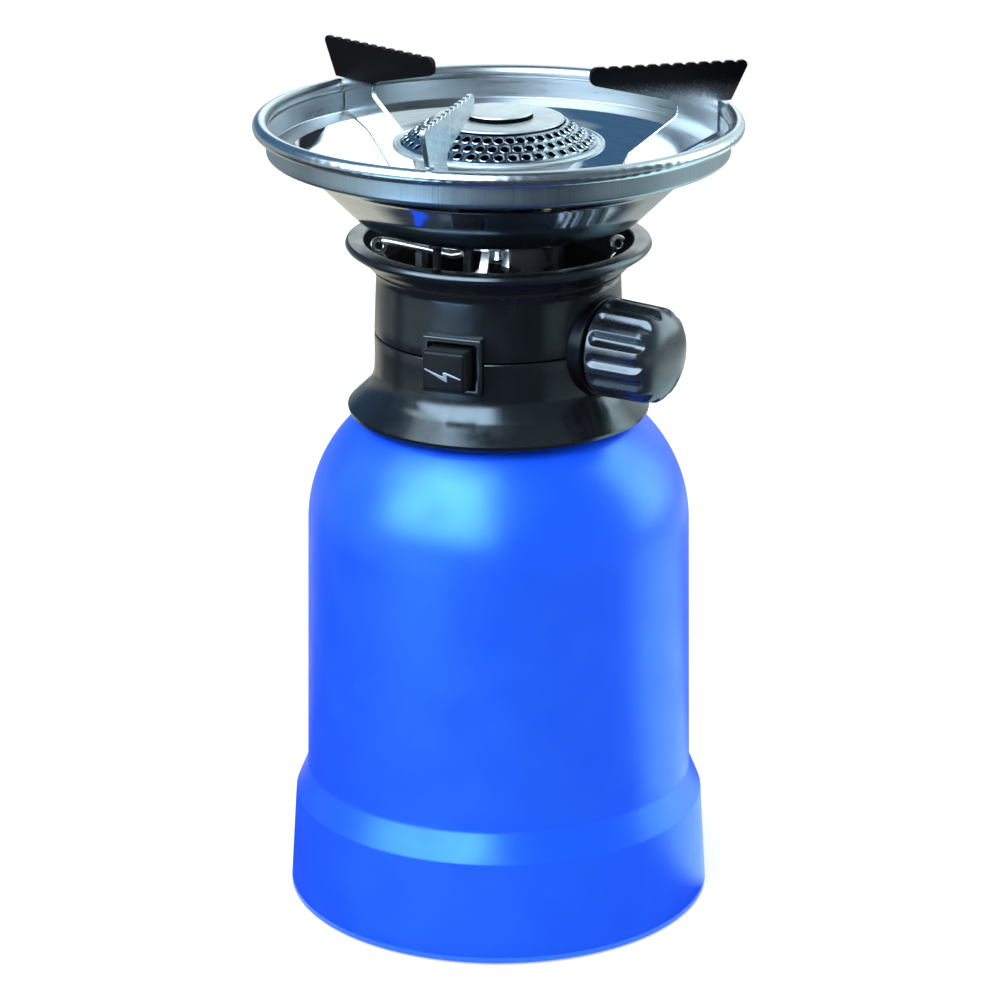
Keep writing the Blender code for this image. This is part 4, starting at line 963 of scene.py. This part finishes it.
def bridge():
    """Bright fittings in the gap: two eyelets on posts, a wire, a lug and a pillar."""

    def fitting(mesh, look, matrix=None):
        put(mesh, [look], matrix=matrix)

    eye_outline = rounded([(1.0, -0.4, 0.2), (2.2, -0.4, 0.2), (2.2, 0.4, 0.2), (1.0, 0.4, 0.2)])
    eye_height, eye_azimuth, eye_tilt = 164.6, 300, 72
    for number, (side, reach) in enumerate(((181.0, 28.7), (3.0, 28.6)), 1):
        place = spin(side) @ shift(reach, 0, eye_height) @ spin(eye_azimuth - side)
        fitting(lathe(f"bridge_eye_{number}", eye_outline, fine_steps), bright_zinc,
                place @ spin(eye_tilt, "Y"))
        stem = block(f"bridge_stem_{number}", (26.9, -1.6, 129.8), (27.5, 1.6, 161.0), 0.2, 2)
        fitting(stem, zinc, spin(side))
        neck = tube(f"bridge_neck_{number}",
                    [(27.2, 0, 160.6), (27.2, 0, 161.8), (reach, 0, 162.9)], 0.7)
        fitting(neck, bright_zinc, spin(side))
    route = [(-28.2, 1.1, 165.6), (-25.0, -0.9, 165.7), (-22.5, -2.3, 165.5), (-16.2, -6.4, 165.3),
             (-11.6, -9.8, 165.0), (-10.4, -10.8, 165.1), (-8.6, -11.4, 165.7)]
    fitting(tube("bridge_wire", route, 0.85), wire_steel)
    lug = block("bridge_lug", (-1.1, -0.3, -9.0), (1.1, 0.3, 0.5), 0.25, 2)
    fitting(lug, wire_steel, shift(-2.6, -12.6, 168.6) @ spin(-22) @ spin(-24, "X"))
    outline = rounded([
        (0, 168.9), (1.5, 168.9), (1.6, 168.0, 0.5), (3.1, 163.8, 0.6), (3.1, 162.9, 0.3),
        (2.1, 162.3, 0.3), (2.1, 161.4, 0.3), (3.2, 159.6, 0.5), (3.2, 157.0, 0.5), (0, 157.0)],
        closed=False)
    fitting(lathe("bridge_pillar", outline, fine_steps), wire_steel, shift(3.7, -14.2, 0))


def mixing_barrel():
    """The mixing tube, open on three sides round the injector."""
    outline = rounded([(8.8, 178.5, 0.2), (8.8, 153.8, 0.3), (8.0, 153.8), (8.0, 178.5, 0.2)])
    piece = put(lathe("mixing_barrel", split_long(outline, 2), 96), [zinc],
                ["mixing_tube"])
    for azimuth in (30, 150, 270):
        cut(piece, block("opening", (-6.2, 156.2, 0), (6.2, 167.5, 12.0), 1.0), outward(azimuth))


def injector_jet():
    """The nickel-plated jet: hexagon, shoulder and tip."""
    shape = bmesh.new()
    levels = [(4.2, 158.3), (4.2, 161.1), (3.0, 161.4), (2.4, 161.6), (1.8, 164.0), (1.2, 164.1)]
    hexagon_levels, chamfer = 2, 1.02
    rings = []
    for index, (radius, height) in enumerate(levels):
        ring = []
        for angle in around(fine_steps):
            r = radius
            if index < hexagon_levels:
                sector = angle % (pi / 3) - pi / 6
                r = min(radius, radius * cos(pi / 6) / cos(sector) * chamfer)
            ring.append(shape.verts.new((r * cos(angle) * mm, r * sin(angle) * mm, height * mm)))
        rings.append(ring)
    for lower, upper in zip(rings, rings[1:]):
        band(shape, lower, upper)
    shape.faces.new(rings[0])
    shape.faces.new(rings[-1])
    put(finished(shape, "injector_jet", 25), [nickel], ["injector"])


def spark_plug():
    """Ceramic, spark wire bent towards the burner, and the boot below."""
    radius, azimuth = 27.0, 238.0
    place = shift(*polar(radius, azimuth))
    outline = rounded([(2.0, 188.0, 0.4), (2.0, 173.0, 0.3), (3.0, 173.0, 0.3), (3.0, 171.6, 0.2),
                       (2.0, 171.6), (2.0, 170.3, 0.3), (0.75, 170.3), (0.75, 188.0, 0.2)])
    put(lathe("plug_ceramic", split_long(outline, 2), fine_steps), [ceramic],
        ["electrode_insulator"], place)
    bend = ((0, 166.5), (0, 180.0), (0, 189.2), (0.4, 191.0), (1.6, 191.7), (3.6, 191.8))
    route = [polar(radius - inward, azimuth, height) for inward, height in bend]
    put(tube("spark_wire", route, 0.6), [zinc], ["ignition_electrode"])
    boot = lathe("plug_boot", [(0.7, 171.0), (1.0, 171.0), (1.0, 165.2), (0.7, 165.2)], 32)
    put(boot, [soot], matrix=place)


def dress_nodes():
    """Materials for the CAD nodes that stay."""
    table = {
        "carrier_plate": zinc, "plate_screw_1": zinc, "plate_screw_2": zinc,
        "plate_screw_3": zinc, "bowl_carrier": zinc, "piercing_needle": zinc,
        "valve_body": nickel, "valve_nut": brass, "gland_nut": brass,
        "valve_spindle": brass, "cartridge_seal": rubber, "spindle_seal": rubber,
        "igniter_module": soft_black, "igniter_lead": lead_sleeve,
    }
    for name, look in table.items():
        mesh = frame["nodes"][name].data
        mesh.materials.clear()
        mesh.materials.append(look)


housing_shell()
base_dish()
cartridge()
collars()
knob()
knob_base_ring()
button()
key_spring()
bezel()
bowl()
burner_flange()
burner_ports()
cap()
supports()
bridge()
mixing_barrel()
injector_jet()
spark_plug()
dress_nodes()


# Stage, light and camera
def direct_rays(tree):
    """1 for camera, glossy and transmission rays and 0 for the rest, in a node tree."""
    path = tree.nodes.new("ShaderNodeLightPath")
    seen = path.outputs["Is Camera Ray"]
    for ray in ("Is Glossy Ray", "Is Transmission Ray"):
        node = tree.nodes.new("ShaderNodeMath")
        node.operation = "MAXIMUM"
        tree.links.new(seen, node.inputs[0])
        tree.links.new(path.outputs[ray], node.inputs[1])
        seen = node.outputs[0]
    return seen


def floor():
    """Pale paper that camera, gloss and glass see brighter, and that keeps the shadow."""
    radius, glow = 0.9, 0.5
    look = Look("floor_paper", (0.80, 0.80, 0.80), 0.9)
    look.wear(8, 3, 0.85, 0.95)
    look.shine(0.1)
    level = look.math("MULTIPLY", direct_rays(look.tree), glow)
    look.link(level, look.shader.inputs["Emission Strength"])
    look.constant("Emission Color", (1, 1, 1, 1))
    shape = bmesh.new()
    bmesh.ops.create_circle(shape, cap_ends=True, segments=128, radius=radius)
    stage_piece("floor", shape, look.material)


def stage_piece(name, shape, look):
    mesh = meshed(shape, name)
    mesh.materials.append(look)
    piece = placed(name, mesh)
    return piece


def only_gloss(piece):
    """Hides a stage piece from all rays but glossy ones."""
    piece.visible_camera = False
    piece.visible_diffuse = False
    piece.visible_shadow = False
    piece.visible_transmission = False


def patchwork(name, base, patches, by_height):
    """Light for gloss alone: soft-edged patches over an even base.

    Each patch is (azimuth, half width, low, high, colour), where low and high are elevations
    in degrees, or distances from the axis in metres on the table.
    """
    look = Look(name, (0, 0, 0), 1.0)
    look.shine(0.0)
    flat = look.scaled((1, 1, 0))
    direction = look.vector("NORMALIZE", flat).outputs[0]
    if by_height:
        climb = look.height(look.vector("NORMALIZE", look.place).outputs[0])
        level = look.math("MULTIPLY", look.math("ARCSINE", climb), 180 / pi)
        soft = 5.0
    else:
        level = look.vector("LENGTH", flat).outputs["Value"]
        soft = 0.04
    result = base
    outer_softness, inner_softness, widest = 6, 4, 179.5
    for azimuth, half, low, high, colour in patches:
        weight = look.math("MULTIPLY", look.ranged(level, 0, 1, low - soft, low + soft),
                           look.ranged(level, 1, 0, high - soft, high + soft))
        if half < 180:
            toward = look.vector("DOT_PRODUCT", direction, polar(1, azimuth)).outputs["Value"]
            side = look.ranged(toward, 0, 1,
                               cos(radians(min(half + outer_softness, widest))),
                               cos(radians(half - inner_softness)))
            weight = look.math("MULTIPLY", weight, side)
        result = look.mixed(weight, result, colour)
    look.link(result, look.shader.inputs["Emission Color"])
    look.constant("Emission Strength", 1.0)
    return look.material


def gloss_room():
    """What gloss sees of the studio: soft cards and dark cloths round the stove."""
    sky = [
        (0, 180, 66, 91, (0.05, 0.06, 0.08)),
        (150, 52, -90, 62, (0.45, 0.50, 0.50)),
        (137, 40, 4, 64, (0.08, 0.18, 0.32)),
        (86, 11, 10, 28, (1.5, 1.65, 1.65)),
        (285, 78, -90, 66, (0.14, 0.17, 0.20)),
        (230, 34, 12, 66, (7.6, 8.7, 10.4)),
        (187, 12, 34, 58, (4.2, 4.6, 5.0)),
        (20, 18, -90, 50, (2.9, 3.5, 3.6)),
    ]
    table = [
        (205, 32, 0.52, 3.0, (0.58, 0.64, 0.66)),
        (345, 30, 0.52, 3.0, (0.43, 0.47, 0.50)),
        (90, 70, 0.52, 3.0, (0.45, 0.48, 0.48)),
        (112, 22, 0.0, 0.60, (0.66, 0.64, 0.54)),
        (71, 16, 0.0, 0.90, (0.45, 0.48, 0.45)),
        (16, 24, 0.0, 0.34, (1.15, 1.6, 1.65)),
        (29, 33, 0.34, 0.52, (1.4, 1.6, 1.6)),
        (226, 15, 0.39, 0.48, (3.4, 6.0, 9.0)),
        (126, 20, 0.62, 0.9, (0.3, 0.36, 0.36)),
    ]
    sky_radius, table_radius, table_height = 4.0, 2.2, 2
    shape = bmesh.new()
    bmesh.ops.create_uvsphere(shape, u_segments=64, v_segments=32, radius=sky_radius)
    look = patchwork("gloss_sky", (0.85, 0.96, 1.0), sky, True)
    only_gloss(stage_piece("gloss_sky", shape, look))
    shape = bmesh.new()
    bmesh.ops.create_circle(shape, cap_ends=True, segments=96, radius=table_radius,
                            matrix=shift(0, 0, table_height))
    look = patchwork("gloss_table", (0.05, 0.06, 0.08), table, False)
    only_gloss(stage_piece("gloss_table", shape, look))


def softbox(name, spot, width, height, power):
    """An area lamp that faces the stove's middle, in metres and watts."""
    lamp = bpy.data.lights.new(name, "AREA")
    lamp.shape, lamp.size, lamp.size_y, lamp.energy = "RECTANGLE", width, height, power
    lamp.color = (0.88, 0.96, 1.0)
    piece = placed(name, lamp)
    piece.location = spot
    aim = Vector((0, 0, 0.12)) - Vector(spot)
    piece.rotation_euler = aim.to_track_quat("-Z", "Y").to_euler()
    piece.visible_glossy = False


def world():
    """White to camera, gloss and glass, and a plain level of light to the rest."""
    plain_level = 0.38
    surroundings = bpy.data.worlds.new("studio")
    scene.world = surroundings
    surroundings.use_nodes = True
    tree = surroundings.node_tree
    back = tree.nodes["Background"]
    back.inputs["Color"].default_value = (1, 1, 1, 1)
    level = tree.nodes.new("ShaderNodeMapRange")
    level.inputs["To Min"].default_value = plain_level
    tree.links.new(direct_rays(tree), level.inputs["Value"])
    tree.links.new(level.outputs["Result"], back.inputs["Strength"])


def camera():
    """The photograph's camera, fitted to its ellipses."""
    distance, height, pitch = 837.0 * mm, 388.5 * mm, 19.0
    eye = bpy.data.cameras.new("photo_camera")
    eye.lens, eye.sensor_width, eye.shift_x = 130.25, 36, 0.0014
    scene.camera = placed("photo_camera", eye)
    scene.camera.location = (0, -distance, height)
    scene.camera.rotation_euler = (radians(90 - pitch), 0, 0)


floor()
gloss_room()
softbox("key_box", (-0.47, -0.67, 0.90), 0.8, 0.5, 11.0)
softbox("right_box", (0.95, 0.10, 0.50), 0.5, 0.6, 7.0)
softbox("left_box", (-0.95, 0.45, 0.50), 0.5, 0.6, 5.0)
world()
camera()
scene.view_settings.view_transform = "Standard"
